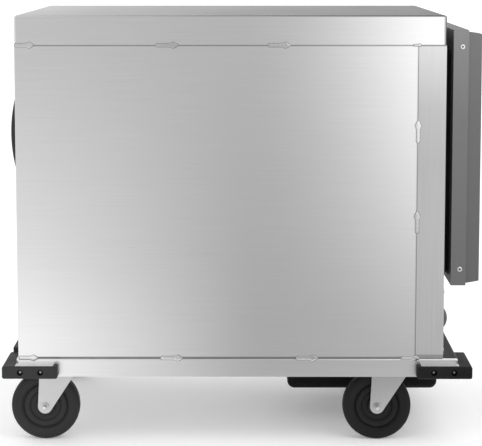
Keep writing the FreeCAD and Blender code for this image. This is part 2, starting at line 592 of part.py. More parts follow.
def make_hinges():
    """Two pinned hinges outside the right post: the frame's knuckle below, the door's above."""
    frame_leaves, door_leaves, pins = [], [], []
    for low in HINGE_STARTS:
        half = f"({low} + hinge_height / 2)"
        top = f"({low} + hinge_height)"
        bore = rod("hinge_pin + shaft_gap", "hinge_height * 2",
                   (HINGE_X, HINGE_Y, f"{low} - hinge_height / 2"))
        below = (low, f"{half} - seat_gap")
        plate_x = (SIDE, f"{SIDE} + leaf_wall")
        frame_leaves.append(cut(fuse(
            box(plate_x, (f"{BODY_FRONT} + leaf_wall", f"{BODY_FRONT} + leaf_width"), (low, top)),
            box(plate_x, (HINGE_Y, f"{BODY_FRONT} + leaf_width"), below),
            rod("knuckle_radius", "hinge_height / 2 - seat_gap", (HINGE_X, HINGE_Y, low))), bore))
        door_leaves.append(cut(fuse(
            box((DOOR_HALF, f"{DOOR_HALF} + leaf_wall"), (f"{SLAB_FRONT} + leaf_wall", SLAB_BACK),
                (low, top)),
            box((DOOR_HALF, HINGE_X), (f"{SLAB_BACK} - knuckle_radius", HINGE_Y), (half, top)),
            rod("knuckle_radius", "hinge_height / 2", (HINGE_X, HINGE_Y, half))), bore))
        pins.append(rod("hinge_pin", "hinge_height + 2 * pin_overhang",
                        (HINGE_X, HINGE_Y, f"{low} - pin_overhang")))
    keep(group(*frame_leaves), "hinge_frame_leaves")
    keep(group(*door_leaves), "hinge_door_leaves")
    keep(group(*pins), "hinge_pins")


PANEL_Y = (f"{BODY_FRONT} - panel_wall", BODY_FRONT)
PANEL_FACE = f"({BODY_FRONT} - panel_wall)"
PANEL_Z = (f"{RAIL_TOP} + panel_lift", f"{RAIL_TOP} + panel_lift + panel_height")
KNOB_PLACES = {"heat": f"(heat_knob_in - {SIDE})", "humidity": f"(humidity_knob_in - {SIDE})"}
SWITCH_X = f"(switch_in - {SIDE})"
PILOT_PLACES = (f"(pilot_in - {SIDE})", f"(pilot_in + pilot_pitch - {SIDE})")
DIAL_X = f"(dial_in - {SIDE})"


def make_controls():
    """The panel under the door with its thermostats, knobs, switch, lights and thermometer."""
    through = f"{PANEL_FACE} - cut_overrun"
    deep = "panel_wall + 2 * cut_overrun"
    holes = [rod("knob_shaft + shaft_gap", deep, (x_at, through, "control_height"), "y")
             for x_at in KNOB_PLACES.values()]
    holes += [rod("pilot_radius", deep, (x_at, through, "control_height"), "y") for x_at in PILOT_PLACES]
    holes.append(rod("dial_radius - dial_bezel", deep, (DIAL_X, through, "control_height"), "y"))
    housing_x, housing_z = about(SWITCH_X, "switch_width / 2"), about("control_height", "switch_height / 2")
    holes.append(box(housing_x, grown(PANEL_Y, "cut_overrun"), housing_z))
    keep(cut(box(grown(BODY_X, "-panel_margin"), PANEL_Y, PANEL_Z), *holes), "control_panel")

    stats = []
    for x_at in KNOB_PLACES.values():
        case = box(about(x_at, "stat_width / 2"), (BODY_FRONT, f"{BODY_FRONT} + stat_depth"),
                   about("control_height", "stat_height / 2"))
        stats.append(cut(case, rod("knob_shaft + shaft_gap", "stat_depth / 2 + cut_overrun",
                                   (x_at, f"{BODY_FRONT} - cut_overrun", "control_height"), "y")))
    keep(group(*stats), "thermostats")

    skirt_y = f"({PANEL_FACE} - seat_gap - knob_skirt_height)"
    knob_front = f"({PANEL_FACE} - knob_proud)"
    for name, x_at in KNOB_PLACES.items():
        shaft = rod("knob_shaft", "knob_skirt_height + panel_wall + stat_depth / 2",
                    (x_at, skirt_y, "control_height"), "y")
        skirt = rod("knob_skirt", "knob_skirt_height", (x_at, skirt_y, "control_height"), "y")
        barrel = rod("knob_radius", "knob_proud - seat_gap", (x_at, knob_front, "control_height"), "y")
        dome = ball("knob_dome", (x_at, f"{knob_front} + knob_dome", "control_height"), "y")
        keep(fuse(shaft, skirt, common(barrel, dome)), f"{name}_knob")

    bezel = box(grown(housing_x, "bezel_lip"), (f"{PANEL_FACE} - bezel_proud", PANEL_FACE),
                grown(housing_z, "bezel_lip"))
    housing = box(housing_x, (PANEL_FACE, f"{PANEL_FACE} + switch_depth"), housing_z)
    room = rod("rocker_radius + rocker_room", "rocker_width + 2 * rocker_room",
               (f"{SWITCH_X} - rocker_width / 2 - rocker_room", PANEL_FACE, "control_height"), "x")
    seat = rod("rocker_pin + shaft_gap", "switch_width - rocker_room",
               (f"{SWITCH_X} - switch_width / 2 + rocker_room / 2", PANEL_FACE, "control_height"), "x")
    keep(cut(fuse(bezel, housing), room, seat), "switch_body")

    drum = rod("rocker_radius", "rocker_width",
               (f"{SWITCH_X} - rocker_width / 2", PANEL_FACE, "control_height"), "x")
    pin = rod("rocker_pin", "switch_width - 2 * rocker_room",
              (f"{SWITCH_X} - switch_width / 2 + rocker_room", PANEL_FACE, "control_height"), "x")
    lean = "rocker_tilt / 2"
    trim = doc.addObject("Part::Box", "trim")
    bind(trim, "Length", "rocker_width * 2")
    bind(trim, "Width", "rocker_proud * 2")
    bind(trim, "Height", "rocker_radius * 2")
    place(trim, (f"{SWITCH_X} - rocker_width",
                 f"{PANEL_FACE} - rocker_proud * cos({lean}) + rocker_radius * sin({lean})",
                 f"control_height - rocker_proud * sin({lean}) - rocker_radius * cos({lean})"),
          ((1, 0, 0), number_of(lean)))
    paddle = doc.addObject("Part::MultiCommon", "paddle")
    paddle.Shapes = [drum, trim]
    keep(fuse(paddle, pin), "power_rocker")

    lights = []
    for x_at in PILOT_PLACES:
        lights.append(fuse(
            rod("pilot_radius", "pilot_proud + panel_wall + pilot_depth",
                (x_at, f"{PANEL_FACE} - pilot_proud", "control_height"), "y"),
            rod("pilot_nut", "pilot_nut_height",
                (x_at, f"{PANEL_FACE} - pilot_nut_height", "control_height"), "y")))
    keep(group(*lights), "pilot_lights")

    dial_front = f"({PANEL_FACE} - dial_proud)"
    well = "dial_radius - dial_bezel"
    case = fuse(rod("dial_radius", "dial_proud", (DIAL_X, dial_front, "control_height"), "y"),
                rod(well, "dial_depth", (DIAL_X, dial_front, "control_height"), "y"))
    recess = rod(f"{well} - dial_bezel / 2", "dial_proud",
                 (DIAL_X, f"{dial_front} - lens_wall / 2", "control_height"), "y")
    keep(cut(case, recess), "thermometer_case")
    lens = rod(f"{well} - dial_bezel / 2", "lens_wall",
               (DIAL_X, f"{dial_front} + lens_wall / 2", "control_height"), "y")
    keep(lens, "thermometer_lens")

    screws = []
    panel_half = f"({SIDE} - panel_margin - screw_in)"
    for x_at in (f"-{panel_half}", "0", panel_half):
        for z_at in (f"{PANEL_Z[0]} + screw_in", f"{PANEL_Z[1]} - screw_in"):
            screws.append(rod("screw_radius", "screw_height",
                              (x_at, f"{PANEL_FACE} - screw_height", z_at), "y"))
    keep(group(*screws), "panel_screws")


INLET_X = f"({SIDE} - inlet_in)"


def inlet_hole():
    return box(about(INLET_X, "inlet_width / 2 - inlet_wall"), grown((BODY_REAR, BODY_REAR), "cut_overrun"),
               about("inlet_up", "inlet_height / 2 - inlet_wall"))


def make_rear():
    """The bow handle and the power inlet."""
    bow_radius = "((pow(handle_chord / 2; 2) + pow(handle_sagitta; 2)) / (2 * handle_sagitta))"
    hoop = ring(bow_radius, "handle_tube",
                ("0", f"{BODY_REAR} + handle_sagitta - {bow_radius}", "handle_height"))
    hoop.Placement.Rotation = FreeCAD.Rotation(FreeCAD.Vector(0, 1, 0), 90)
    reach = box(("-handle_foot", "handle_foot"), (BODY_REAR, f"{BODY_REAR} + {HANDLE_REACH} + cut_overrun"),
                about("handle_height", "handle_chord"))
    bow = doc.addObject("Part::MultiCommon", "bow")
    bow.Shapes = [hoop, reach]
    feet = [rod("handle_foot", "handle_foot_height",
                ("0", BODY_REAR, f"handle_height {side} handle_chord / 2"), "y")
            for side in "+-"]
    keep(fuse(bow, *feet), "push_handle")

    flange = box(about(INLET_X, "inlet_width / 2"), (BODY_REAR, f"{BODY_REAR} + inlet_proud"),
                 about("inlet_up", "inlet_height / 2"))
    shell_x = about(INLET_X, "inlet_width / 2 - inlet_wall")
    shell_z = about("inlet_up", "inlet_height / 2 - inlet_wall")
    shell = box(shell_x, (f"{BODY_REAR} - inlet_depth", BODY_REAR), shell_z)
    socket = box(grown(shell_x, "-inlet_wall"),
                 (f"{BODY_REAR} - inlet_depth + inlet_wall", f"{BODY_REAR} + cut_overrun"),
                 grown(shell_z, "-inlet_wall"))
    keep(cut(fuse(flange, shell), socket), "power_inlet")


CORNERS = {"front_left": (-1, -1), "front_right": (1, -1), "rear_left": (-1, 1), "rear_right": (1, 1)}


def make_bumpers():
    """Four corner bumpers, the strips between them and their bolts."""
    bolts = []
    for name, (sx, sy) in CORNERS.items():
        wall_x = signed(sx, SIDE)
        wall_y = BASE_FRONT if sy < 0 else BASE_REAR
        out_x, out_y = f"({wall_x} + {sx} * bumper_proud)", f"({wall_y} + {sy} * bumper_proud)"
        end_y = f"({out_y} - {sy} * bumper_side_leg)"
        end_x = f"({out_x} - {sx} * bumper_end_leg)"
        bumper = new_body(f"bumper_{name}")
        outline = [(wall_x, end_y), (out_x, end_y), (out_x, out_y),
                   (end_x, out_y), (end_x, wall_y), (wall_x, wall_y)]
        bar = pad(bumper, sketch_on(bumper, "XY_Plane", outline, "bumper_bottom"), "bumper_height")
        slack = number_of("seat_gap")
        limit_x, limit_y = number_of(SIDE) + slack, sy * number_of(wall_y) + slack
        round_edges(bumper, bar, "bumper_round", lambda edge: abs(edge.CenterOfMass.x) > limit_x
                    or sy * edge.CenterOfMass.y > limit_y)
        mid_z = "(bumper_bottom + bumper_height / 2)"
        for n in range(2):
            step = f"(bolt_first + {n} * bolt_pitch)"
            hole_y = f"({out_y} - {sy} * {step})"
            hole_x = f"({out_x} - {sx} * {step})"
            side_hole = circle_on(bumper, "YZ_Plane", "bumper_hole_radius", (hole_y, mid_z), out_x)
            pocket(bumper, side_hole, "bumper_hole_depth", back=sx < 0)
            end_hole = circle_on(bumper, "XZ_Plane", "bumper_hole_radius", (hole_x, mid_z), f"-{out_y}")
            pocket(bumper, end_hole, "bumper_hole_depth", back=sy > 0)
            head = "bumper_hole_depth / 2"
            seat_x = f"{out_x} - {sx} * bumper_hole_depth" + ("" if sx > 0 else f" - {head}")
            seat_y = f"{out_y} - {sy} * bumper_hole_depth" + ("" if sy > 0 else f" - {head}")
            bolts.append(rod("bumper_bolt_radius", head, (seat_x, hole_y, mid_z), "x"))
            bolts.append(rod("bumper_bolt_radius", head, (hole_x, seat_y, mid_z), "y"))
    keep(group(*bolts), "bumper_bolts")

    strip_x = grown(BODY_X, "bumper_proud - bumper_end_leg")
    keep(box(strip_x, (f"{BASE_FRONT} - front_strip_proud", BASE_FRONT),
             ("bumper_bottom", "bumper_bottom + front_strip_height")), "front_strip")
    strip_low = "bumper_bottom + rear_strip_lift"
    keep(box(strip_x, (BASE_REAR, f"{BASE_REAR} + rear_strip_proud"),
             (strip_low, f"{strip_low} + bumper_height")), "rear_strip")


DRIP_Y = (f"{BODY_FRONT} - drip_forward", f"{BODY_FRONT} - drip_forward + drip_length")


def make_drip_pan():
    """The removable pan under the base and the two runners that carry its rim."""
    body_x = ("-drip_width / 2 + drip_rim", "drip_width / 2 - drip_rim")
    body_y = grown(DRIP_Y, "-drip_rim")
    make_tray("drip_pan", body_x, body_y, "drip_bottom", "drip_depth", "drip_wall", "drip_rim", "drip_round")
    rim_low = "(drip_bottom + drip_depth - drip_wall)"
    ledge_z = (f"{rim_low} - seat_gap - runner_wall", f"{rim_low} - seat_gap")
    plate = f"({RAIL_TOP} - base_wall)"
    runners = []
    for sign in (-1, 1):
        outer = "drip_width / 2 + seat_gap + runner_wall"
        runners.append(fuse(
            box(from_side(sign, outer, "0", "runner_wall"), DRIP_Y, (ledge_z[0], plate)),
            box(from_side(sign, outer, "0", "runner_wall + seat_gap + runner_ledge"), DRIP_Y, ledge_z),
            box(from_side(sign, outer, "-runner_ledge", "runner_wall"), DRIP_Y,
                (f"{plate} - runner_wall", plate))))
    keep(group(*runners), "drip_pan_runners")


PLATE_TOP = f"({RAIL_TOP} - base_wall)"
RACE_LOW = f"({PLATE_TOP} - caster_plate_wall - race_height)"
CROWN_TOP = f"({RACE_LOW} - seat_gap)"
CROWN_LOW = f"({CROWN_TOP} - crown_height)"
NUT_TOP = f"({CROWN_LOW} - seat_gap)"
FORK_HALF = "(wheel_width / 2 + fork_room + fork_wall)"


def make_casters():
    """Swivel casters: fixed plates with their king pins, forks with axles, and wheels."""
    plates, bolts = [], []
    for name, (sx, sy) in CORNERS.items():
        king_x = signed(sx, f"{SIDE} - caster_side_in")
        king_y = f"({BODY_FRONT} + caster_front_in)" if sy < 0 else f"({BODY_REAR} - caster_rear_in)"
        axle_y = f"({king_y} + caster_trail)"
        plates.append(fuse(
            box(about(king_x, "caster_plate_width / 2"), about(king_y, "caster_plate_length / 2"),
                (f"{PLATE_TOP} - caster_plate_wall", PLATE_TOP)),
            rod("race_radius", "race_height", (king_x, king_y, RACE_LOW)),
            rod("kingpin_radius", f"{RACE_LOW} - {NUT_TOP}", (king_x, king_y, NUT_TOP)),
            rod("kingpin_nut", "kingpin_nut_height", (king_x, king_y, f"{NUT_TOP} - kingpin_nut_height"))))
        for dx in (-1, 1):
            for dy in (-1, 1):
                spot = (f"{king_x} + {dx} * caster_bolt_wide", f"{king_y} + {dy} * caster_bolt_long",
                        f"{PLATE_TOP} - caster_plate_wall - caster_bolt_height")
                bolts.append(rod("caster_bolt_radius", "caster_bolt_height", spot))

        fork = doc.addObject("PartDesign::Body", "fork")
        yoke = rectangle((f"-{FORK_HALF}", FORK_HALF),
                         ("caster_trail - fork_front", "caster_trail + fork_back"))
        pad(fork, sketch_on(fork, "XY_Plane", yoke, CROWN_LOW), "crown_height")
        pad(fork, circle_on(fork, "XY_Plane", "race_radius", lift=CROWN_LOW), "crown_height")
        for low in (f"-{FORK_HALF}", f"({FORK_HALF} - fork_wall)"):
            leg = [("caster_trail + fork_back", CROWN_TOP), ("caster_trail - fork_front", CROWN_TOP),
                   ("caster_trail - fork_front", "fork_knee"),
                   ("caster_trail - fork_eye * cos(fork_slope)", "wheel_radius - fork_eye * sin(fork_slope)"),
                   ("caster_trail + fork_eye", "wheel_radius"), ("caster_trail + fork_back", CROWN_LOW)]
            pad(fork, sketch_on(fork, "YZ_Plane", leg, low), "fork_wall")
            eye = circle_on(fork, "YZ_Plane", "fork_eye", ("caster_trail", "wheel_radius"), low)
            pad(fork, eye, "fork_wall")
        king_hole = circle_on(fork, "XY_Plane", "kingpin_radius + shaft_gap", lift=CROWN_TOP)
        pocket(fork, king_hole, "crown_height")
        bore = circle_on(fork, "YZ_Plane", "axle_radius", ("caster_trail", "wheel_radius"), FORK_HALF)
        pocket(fork, bore, f"2 * {FORK_HALF}")
        place(fork, (king_x, king_y, "0"))
        left_end, right_end = f"{king_x} - {FORK_HALF}", f"{king_x} + {FORK_HALF}"
        axle = fuse(
            rod("axle_radius", f"2 * {FORK_HALF}", (left_end, axle_y, "wheel_radius"), "x"),
            rod("axle_head", "axle_head_height",
                (f"{left_end} - axle_head_height", axle_y, "wheel_radius"), "x"),
            rod("axle_head", "axle_head_height", (right_end, axle_y, "wheel_radius"), "x"))
        keep(group(fork, axle), f"caster_fork_{name}")

        wheel = new_body(f"caster_wheel_{name}")
        half = "wheel_width / 2"
        hub_end, web = f"({half} + wheel_hub_proud)", f"({half} - wheel_dish)"
        right = [(half, "wheel_radius"), (half, "wheel_dish_radius"), (web, "wheel_rim_radius"),
                 (web, "wheel_hub"), (hub_end, "wheel_hub"), (hub_end, "axle_radius + shaft_gap")]
        left = [(f"-{along}", radius) for along, radius in reversed(right)]
        tyre = turned(wheel, right + left)
        edge_radius = number_of("wheel_radius")
        slack = number_of("seat_gap")
        round_edges(wheel, tyre, "wheel_round", lambda edge: abs(edge.BoundBox.ZMax - edge_radius) < slack
                    and edge.BoundBox.XLength < slack)
        place(wheel, (king_x, axle_y, "wheel_radius"))
    keep(group(*plates), "caster_plates")
    keep(group(*bolts), "caster_bolts")


make_base()
make_case()
make_cavity()
make_blower()
make_racks()
make_door()
make_hinges()
make_controls()
make_rear()
make_bumpers()
make_drip_pan()
make_casters()
doc.recompute()

for item in doc.Objects:
    if "Invalid" in item.State or "Error" in item.State:
        raise RuntimeError(item.Name + " did not build")
os.makedirs("parts", exist_ok=True)
for item in SUB_PARTS:
    if item.Shape.isNull() or not item.Shape.isValid():
        raise RuntimeError(item.Label + " has no valid shape")
for item in SUB_PARTS:
    item.Shape.exportStep(f"parts/{item.Label}.step")
print(len(SUB_PARTS), "sub-parts written")
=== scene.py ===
# %% [markdown]
# # A holding and proofing cabinet on casters
# The solids of the cabinet come from a CAD model and arrive here as a fixed frame: every sheet, hinge and
# bolt is already in place, in metres. This lesson dresses that frame. It gives each sheet its finish, and
# it replaces the few pieces whose looks need more than a plain solid, such as the wheels and the door
# seal.

# %% Load the frame
import math

import bmesh
import bpy
import numpy as np
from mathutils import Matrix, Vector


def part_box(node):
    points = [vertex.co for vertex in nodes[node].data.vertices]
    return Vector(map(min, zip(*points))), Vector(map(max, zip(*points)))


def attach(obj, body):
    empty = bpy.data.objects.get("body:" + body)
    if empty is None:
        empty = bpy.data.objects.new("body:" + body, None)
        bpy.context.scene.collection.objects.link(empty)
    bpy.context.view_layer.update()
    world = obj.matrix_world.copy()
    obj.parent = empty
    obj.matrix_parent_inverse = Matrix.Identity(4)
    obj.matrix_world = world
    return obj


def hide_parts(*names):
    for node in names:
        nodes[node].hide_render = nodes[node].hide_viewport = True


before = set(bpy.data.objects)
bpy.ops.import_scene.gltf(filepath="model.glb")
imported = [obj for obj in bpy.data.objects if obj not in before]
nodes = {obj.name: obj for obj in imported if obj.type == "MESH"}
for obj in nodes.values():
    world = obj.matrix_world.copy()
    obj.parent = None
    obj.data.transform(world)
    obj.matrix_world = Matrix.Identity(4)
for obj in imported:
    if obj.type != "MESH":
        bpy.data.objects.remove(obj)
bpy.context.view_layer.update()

# %% [markdown]
# ## Camera
# The photograph looks at the cabinet's left side from a little above, through a long lens. The place was
# found by fitting corners of the frame to the same corners in the picture. A small vertical shift of the
# picture plane keeps the uprights upright, as a view camera does, so the camera itself tilts less.

# %% Camera
SENSOR_WIDTH, LENS, SHIFT = 36.0, 140.67, -0.09
CAMERA_PLACE = (-3.688, -0.019, 0.902)
TILT_DOWN, TURN_LEFT = 6.93, 0.157
lens_data = bpy.data.cameras.new("camera")
lens_data.sensor_width = SENSOR_WIDTH
lens_data.lens = LENS
lens_data.shift_y = SHIFT
camera = bpy.data.objects.new("camera", lens_data)
camera.location = CAMERA_PLACE
camera.rotation_euler = (math.radians(90 - TILT_DOWN), 0, math.radians(-90 + TURN_LEFT))
bpy.context.collection.objects.link(camera)
bpy.context.scene.camera = camera
print("camera at", tuple(camera.location))

# %% [markdown]
# ## Shader arithmetic
# A material is a graph of nodes, and a formula drawn as nodes soon needs dozens of clicks. This class holds
# one output socket. Adding or multiplying two of them adds the Math node, so a formula reads as it is
# written. Every other node comes from one method, which takes the node's type, its settings and its inputs.

# %% A socket with arithmetic
class Socket:
    """An output of a node tree. Operators add Math nodes; node() adds any other node to the same tree."""

    def __init__(self, tree, output):
        self.tree = tree
        self.output = output

    def node(self, kind, settings=None, inputs=None, output=0):
        """A new node: settings are set first, then each input is linked to a Socket or given a value."""
        made = self.tree.nodes.new(kind)
        for key, value in (settings or {}).items():
            setattr(made, key, value)
        for key, value in (inputs or {}).items():
            if isinstance(value, Socket):
                self.tree.links.new(value.output, made.inputs[key])
            else:
                made.inputs[key].default_value = value
        return Socket(self.tree, made.outputs[output])

    def math(self, operation, first, second):
        """A Math node with two inputs."""
        return self.node("ShaderNodeMath", {"operation": operation}, {0: first, 1: second})

    def __add__(self, other):
        return self.math("ADD", self, other)

    def __sub__(self, other):
        return self.math("SUBTRACT", self, other)

    def __rsub__(self, other):
        return self.math("SUBTRACT", other, self)

    def __mul__(self, other):
        return self.math("MULTIPLY", self, other)

    __radd__ = __add__
    __rmul__ = __mul__


print("socket class ready")

# %% [markdown]
# The helpers below are the few moves that every finish repeats: start a material, feed its shader, draw noise
# out along one axis, stretch a mask and blend two colours by it.

# %% Shader helpers
EVEN = (1, 1, 1)


def grey(level):
    """A colour with one level in all three channels."""
    return (level, level, level, 1.0)


def socket_name(key):
    """The shader's own label for a keyword: base_color becomes Base Color."""
    return key.replace("_", " ").title().replace("Ior", "IOR")


def new_finish(name, **constants):
    """A material with one Principled shader, its constant values set.

    Returns the material, the shader and the place on the piece.
    """
    material = bpy.data.materials.new(name)
    material.use_nodes = True
    tree = material.node_tree
    shader = next(n for n in tree.nodes if n.type == "BSDF_PRINCIPLED")
    for key, value in constants.items():
        shader.inputs[socket_name(key)].default_value = value
    where = tree.nodes.new("ShaderNodeTexCoord")
    return material, shader, Socket(tree, where.outputs["Object"])


def feed(shader, **varying):
    """Links values that change over the surface to the shader's sockets."""
    for key, socket in varying.items():
        socket.tree.links.new(socket.output, shader.inputs[socket_name(key)])


def axis_of(place, number):
    """One coordinate of a place: 0, 1 and 2 are x, y and z."""
    return place.node("ShaderNodeSeparateXYZ", None, {0: place}, number)


def grain(place, stretch, scale, detail=3.0):
    """Noise that is drawn out along an axis by a small stretch there."""
    drawn = place.node("ShaderNodeVectorMath", {"operation": "MULTIPLY"}, {0: place, 1: stretch})
    return place.node("ShaderNodeTexNoise", None, {"Vector": drawn, "Scale": scale, "Detail": detail})


def blend(mask, dark, light):
    """A colour between two colours, by a mask from 0 to 1."""
    return mask.node("ShaderNodeMix", {"data_type": "RGBA"}, {0: mask, 6: dark, 7: light}, 2)


def raised(height, distance, strength):
    """A normal that is tilted by the slope of a height."""
    inputs = {"Height": height, "Distance": distance, "Strength": strength}
    return height.node("ShaderNodeBump", None, inputs)


def contrast(mask, low, high):
    """The mask stretched so that low becomes 0 and high becomes 1."""
    return mask.node("ShaderNodeMapRange", None, {0: mask, 1: low, 2: high})


def paint(material, *names):
    """Gives CAD nodes a material."""
    for name in names:
        data = nodes[name].data
        data.materials.clear()
        data.materials.append(material)


print("shader helpers ready")

# %% [markdown]
# ## Floor and light
# The cabinet stands on a plain pale floor under an even white sky. The floor glows a little, so it stays
# nearly white under the cabinet too.

# %% Floor and sky
FLOOR_SIDE, FLOOR_GLOW = 120, 0.22
SKY_STOPS = ((0.0, 1.0), (0.25, 1.02), (1.0, 1.1))


def flat_sheet(name, corner, side_a, side_b):
    """A flat card: corner + u * side_a + v * side_b on a two by two grid, with u and v as its UV map."""
    u, v = np.meshgrid([0.0, 1.0], [0.0, 1.0], indexing="ij")
    points = np.array(corner) + u[..., None] * np.array(side_a) + v[..., None] * np.array(side_b)
    mesh = bpy.data.meshes.new(name)
    mesh.from_pydata(points.reshape(-1, 3).tolist(), [], [(0, 2, 3, 1)])
    mesh.uv_layers.new(name="uv").data.foreach_set("uv", [0.0, 0.0, 1.0, 0.0, 1.0, 1.0, 0.0, 1.0])
    card = bpy.data.objects.new(name, mesh)
    bpy.context.collection.objects.link(card)
    return card


def ramp(value, stops):
    """A grey level read off a ramp of (place, level) stops. A new ramp has two; the rest are added."""
    level = value.node("ShaderNodeValToRGB", None, {0: value})
    elements = level.output.node.color_ramp.elements
    for place, _ in stops[2:]:
        elements.new(place)
    for element, (place, shade) in zip(elements, stops):
        element.position = place
        element.color = grey(shade)
    return level


floor = flat_sheet("floor", (-FLOOR_SIDE / 2, -FLOOR_SIDE / 2, 0), (FLOOR_SIDE, 0, 0), (0, FLOOR_SIDE, 0))
floor_paint, shader, place = new_finish("pale_floor", roughness=0.6, emission_color=grey(1.0),
                                        emission_strength=FLOOR_GLOW)
feed(shader, base_color=blend(grain(place, EVEN, 0.7), grey(0.90), grey(0.94)))
floor.data.materials.append(floor_paint)

world = bpy.data.worlds.new("white_sky")
bpy.context.scene.world = world
world.use_nodes = True
sky_tree = world.node_tree
direction = Socket(sky_tree, sky_tree.nodes.new("ShaderNodeTexCoord").outputs["Generated"])
sky_level = ramp(axis_of(direction, 2), SKY_STOPS)
sky_tree.links.new(sky_level.output, sky_tree.nodes["Background"].inputs["Color"])
bpy.context.scene.view_settings.view_transform = "Standard"
print("floor and sky ready")

# %% [markdown]
# Steel shows what it mirrors and little else, so a photographer places cards beside it, out of the picture,
# to draw soft bands on the sheets. The cards here do the same: they glow, only mirrors see them, and they
# cast nothing on the floor.

# %% A card that only mirrors see
def mirror_card(name, corner, side_a, side_b, formula):
    """A glowing card whose brightness is a formula of its own u and v."""
    card = flat_sheet(name, corner, side_a, side_b)
    material = bpy.data.materials.new(name)
    material.use_nodes = True
    tree = material.node_tree
    tree.nodes.remove(next(n for n in tree.nodes if n.type == "BSDF_PRINCIPLED"))
    where = Socket(tree, tree.nodes.new("ShaderNodeTexCoord").outputs["UV"])
    level = formula(axis_of(where, 0), axis_of(where, 1))
    glow = where.node("ShaderNodeEmission", None, {"Color": level, "Strength": 1.0})
    out = next(n for n in tree.nodes if n.type == "OUTPUT_MATERIAL")
    tree.links.new(glow.output, out.inputs["Surface"])
    card.data.materials.append(material)
    card.visible_camera = False
    card.visible_diffuse = False
    card.visible_shadow = False
    card.visible_transmission = False


print("card helper ready")

# %% Cards round the cabinet
MIDDLE, MIDDLE_RISE = 0.44, 0.10
REAR, REAR_FADE, REAR_LOW = 0.66, 0.54, 0.14
FRONT, FRONT_RISE = 0.09, 0.74
CARD_LIFT = 0.002


def side_glow(u, v):
    """Dim in the middle, brighter to the rear and below, brightest to the front and above. u runs forward."""
    up = contrast(v, 0.10, 0.66)
    low = 1 - contrast(v, 0.15, 0.28)
    rear = 1 - contrast(u, 0.19, 0.52)
    front = contrast(u, 0.50, 0.76)
    rear_part = rear * (REAR - REAR_FADE * up + REAR_LOW * low)
    front_part = front * front * (FRONT + FRONT_RISE * up)
    return MIDDLE + MIDDLE_RISE * up + rear_part + front_part


def brighter_up(u, v):
    """Brighter from the floor upwards."""
    return 0.55 + 0.5 * v


def darker_forward(u, v):
    """Darker from the rear to the front."""
    return 0.62 - 0.58 * u


def brighter_along_u(u, v):
    """On the floor: dim beside the cabinet, brighter away from it along u."""
    return 0.42 + 0.9 * u


def brighter_along_v(u, v):
    """On the floor: dim beside the cabinet, brighter away from it along v."""
    return 0.42 + 0.9 * v


def dim(u, v):
    """Nearly dark all over."""
    return 0.10 + 0.10 * u


mirror_card("side_card", (-0.55, 0.70, 0.0), (0, -1.40, 0), (0, 0, 1.1), side_glow)
mirror_card("far_side_card", (1.6, -0.9, 0.0), (0, 1.8, 0), (0, 0, 1.2), brighter_up)
mirror_card("front_card", (-0.9, -2.4, 0.0), (1.8, 0, 0), (0, 0, 1.3), brighter_up)
mirror_card("rear_card", (0.9, 2.4, 0.0), (-1.8, 0, 0), (0, 0, 1.3), brighter_up)
mirror_card("roof_card", (2.2, 1.6, 0.75), (0, -3.2, 0), (0, 0, 3.0), darker_forward)
mirror_card("far_floor_card", (0.36, -3.0, CARD_LIFT), (3.0, 0, 0), (0, 6.0, 0), brighter_along_u)
mirror_card("front_floor_card", (-0.30, -0.48, CARD_LIFT), (0, -3.0, 0), (3.6, 0, 0), brighter_along_u)
mirror_card("rear_floor_card", (-0.30, 0.48, CARD_LIFT), (3.6, 0, 0), (0, 3.0, 0), brighter_along_v)
mirror_card("edge_card", (-2.6, -1.5, 2.4), (1.6, 0, 0), (0, 3.0, 0), dim)
print("cards ready")

# %% [markdown]
# Two weak lamps above the cabinet, one at the front left and one at the rear right, add a soft direction to
# the sky's even light.

# %% Lamps
LAMP_WIDTH, LAMP_AIM = 1.6, (0, 0, 0.4)


def soft_lamp(name, place, power):
    """A square lamp that faces the cabinet."""
    data = bpy.data.lights.new(name, "AREA")
    data.size = LAMP_WIDTH
    data.energy = power
    lamp = bpy.data.objects.new(name, data)
    lamp.location = place
    away = np.array(place) - np.array(LAMP_AIM)
    tilt = math.atan2(math.hypot(away[0], away[1]), away[2])
    turn = math.atan2(away[1], away[0]) + math.pi / 2
    lamp.rotation_euler = (tilt, 0, turn)
    bpy.context.collection.objects.link(lamp)


soft_lamp("key_lamp", (-2.4, -2.2, 3.4), power=25)
soft_lamp("fill_lamp", (1.6, 3.0, 3.4), power=8)
print("lamps ready")

# %% [markdown]
# ## Steel
# The case is stainless sheet with a fine brushed finish. Brushing leaves long shallow scratches that run one
# way, so the noise that stands for them is drawn out along the run of the sheet: front to back on the sides
# and the roof, side to side on the rear and the control panel, up and down on the posts. The same streaks
# drive the colour, the roughness and a very small bump, and a slow wave bends reflections a little, as thin
# sheet does.

# %% Brushed steel
STREAK_SCALE, SMUDGE_SCALE, WAVE_SCALE = 520.0, 6.0, 2.2
SHEET_BUMP = {"distance": 0.004, "strength": 0.10}


def brushed_steel(name, stretch, dark, light, rough, shade=None):
    """Streaks = drawn out noise; smudges = slow noise; roughness = rough + both.

    A painted shade darkens the colour by place, and where it is nearly 0 the sheet is dull and no longer a
    mirror.
    """
    material, shader, place = new_finish(name, metallic=1.0)
    streak = grain(place, stretch, STREAK_SCALE)
    smudge = grain(place, EVEN, SMUDGE_SCALE)
    wave = grain(place, EVEN, WAVE_SCALE, detail=1.0)
    colour = blend(streak, dark, light)
    scatter = rough + 0.10 * streak + 0.07 * smudge
    if shade:
        # the painted shade: colour darkened by place, and dull steel where it is nearly 0
        bright = shade(place)
        steel = contrast(bright, 0.05, 0.15)
        colour = blend(bright, grey(0.0), colour)
        scatter = scatter + 0.35 * (1 - steel)
        feed(shader, metallic=steel)
    feed(shader, base_color=colour, roughness=scatter, normal=raised(0.02 * streak + wave, **SHEET_BUMP))
    return material


print("brushed steel ready")
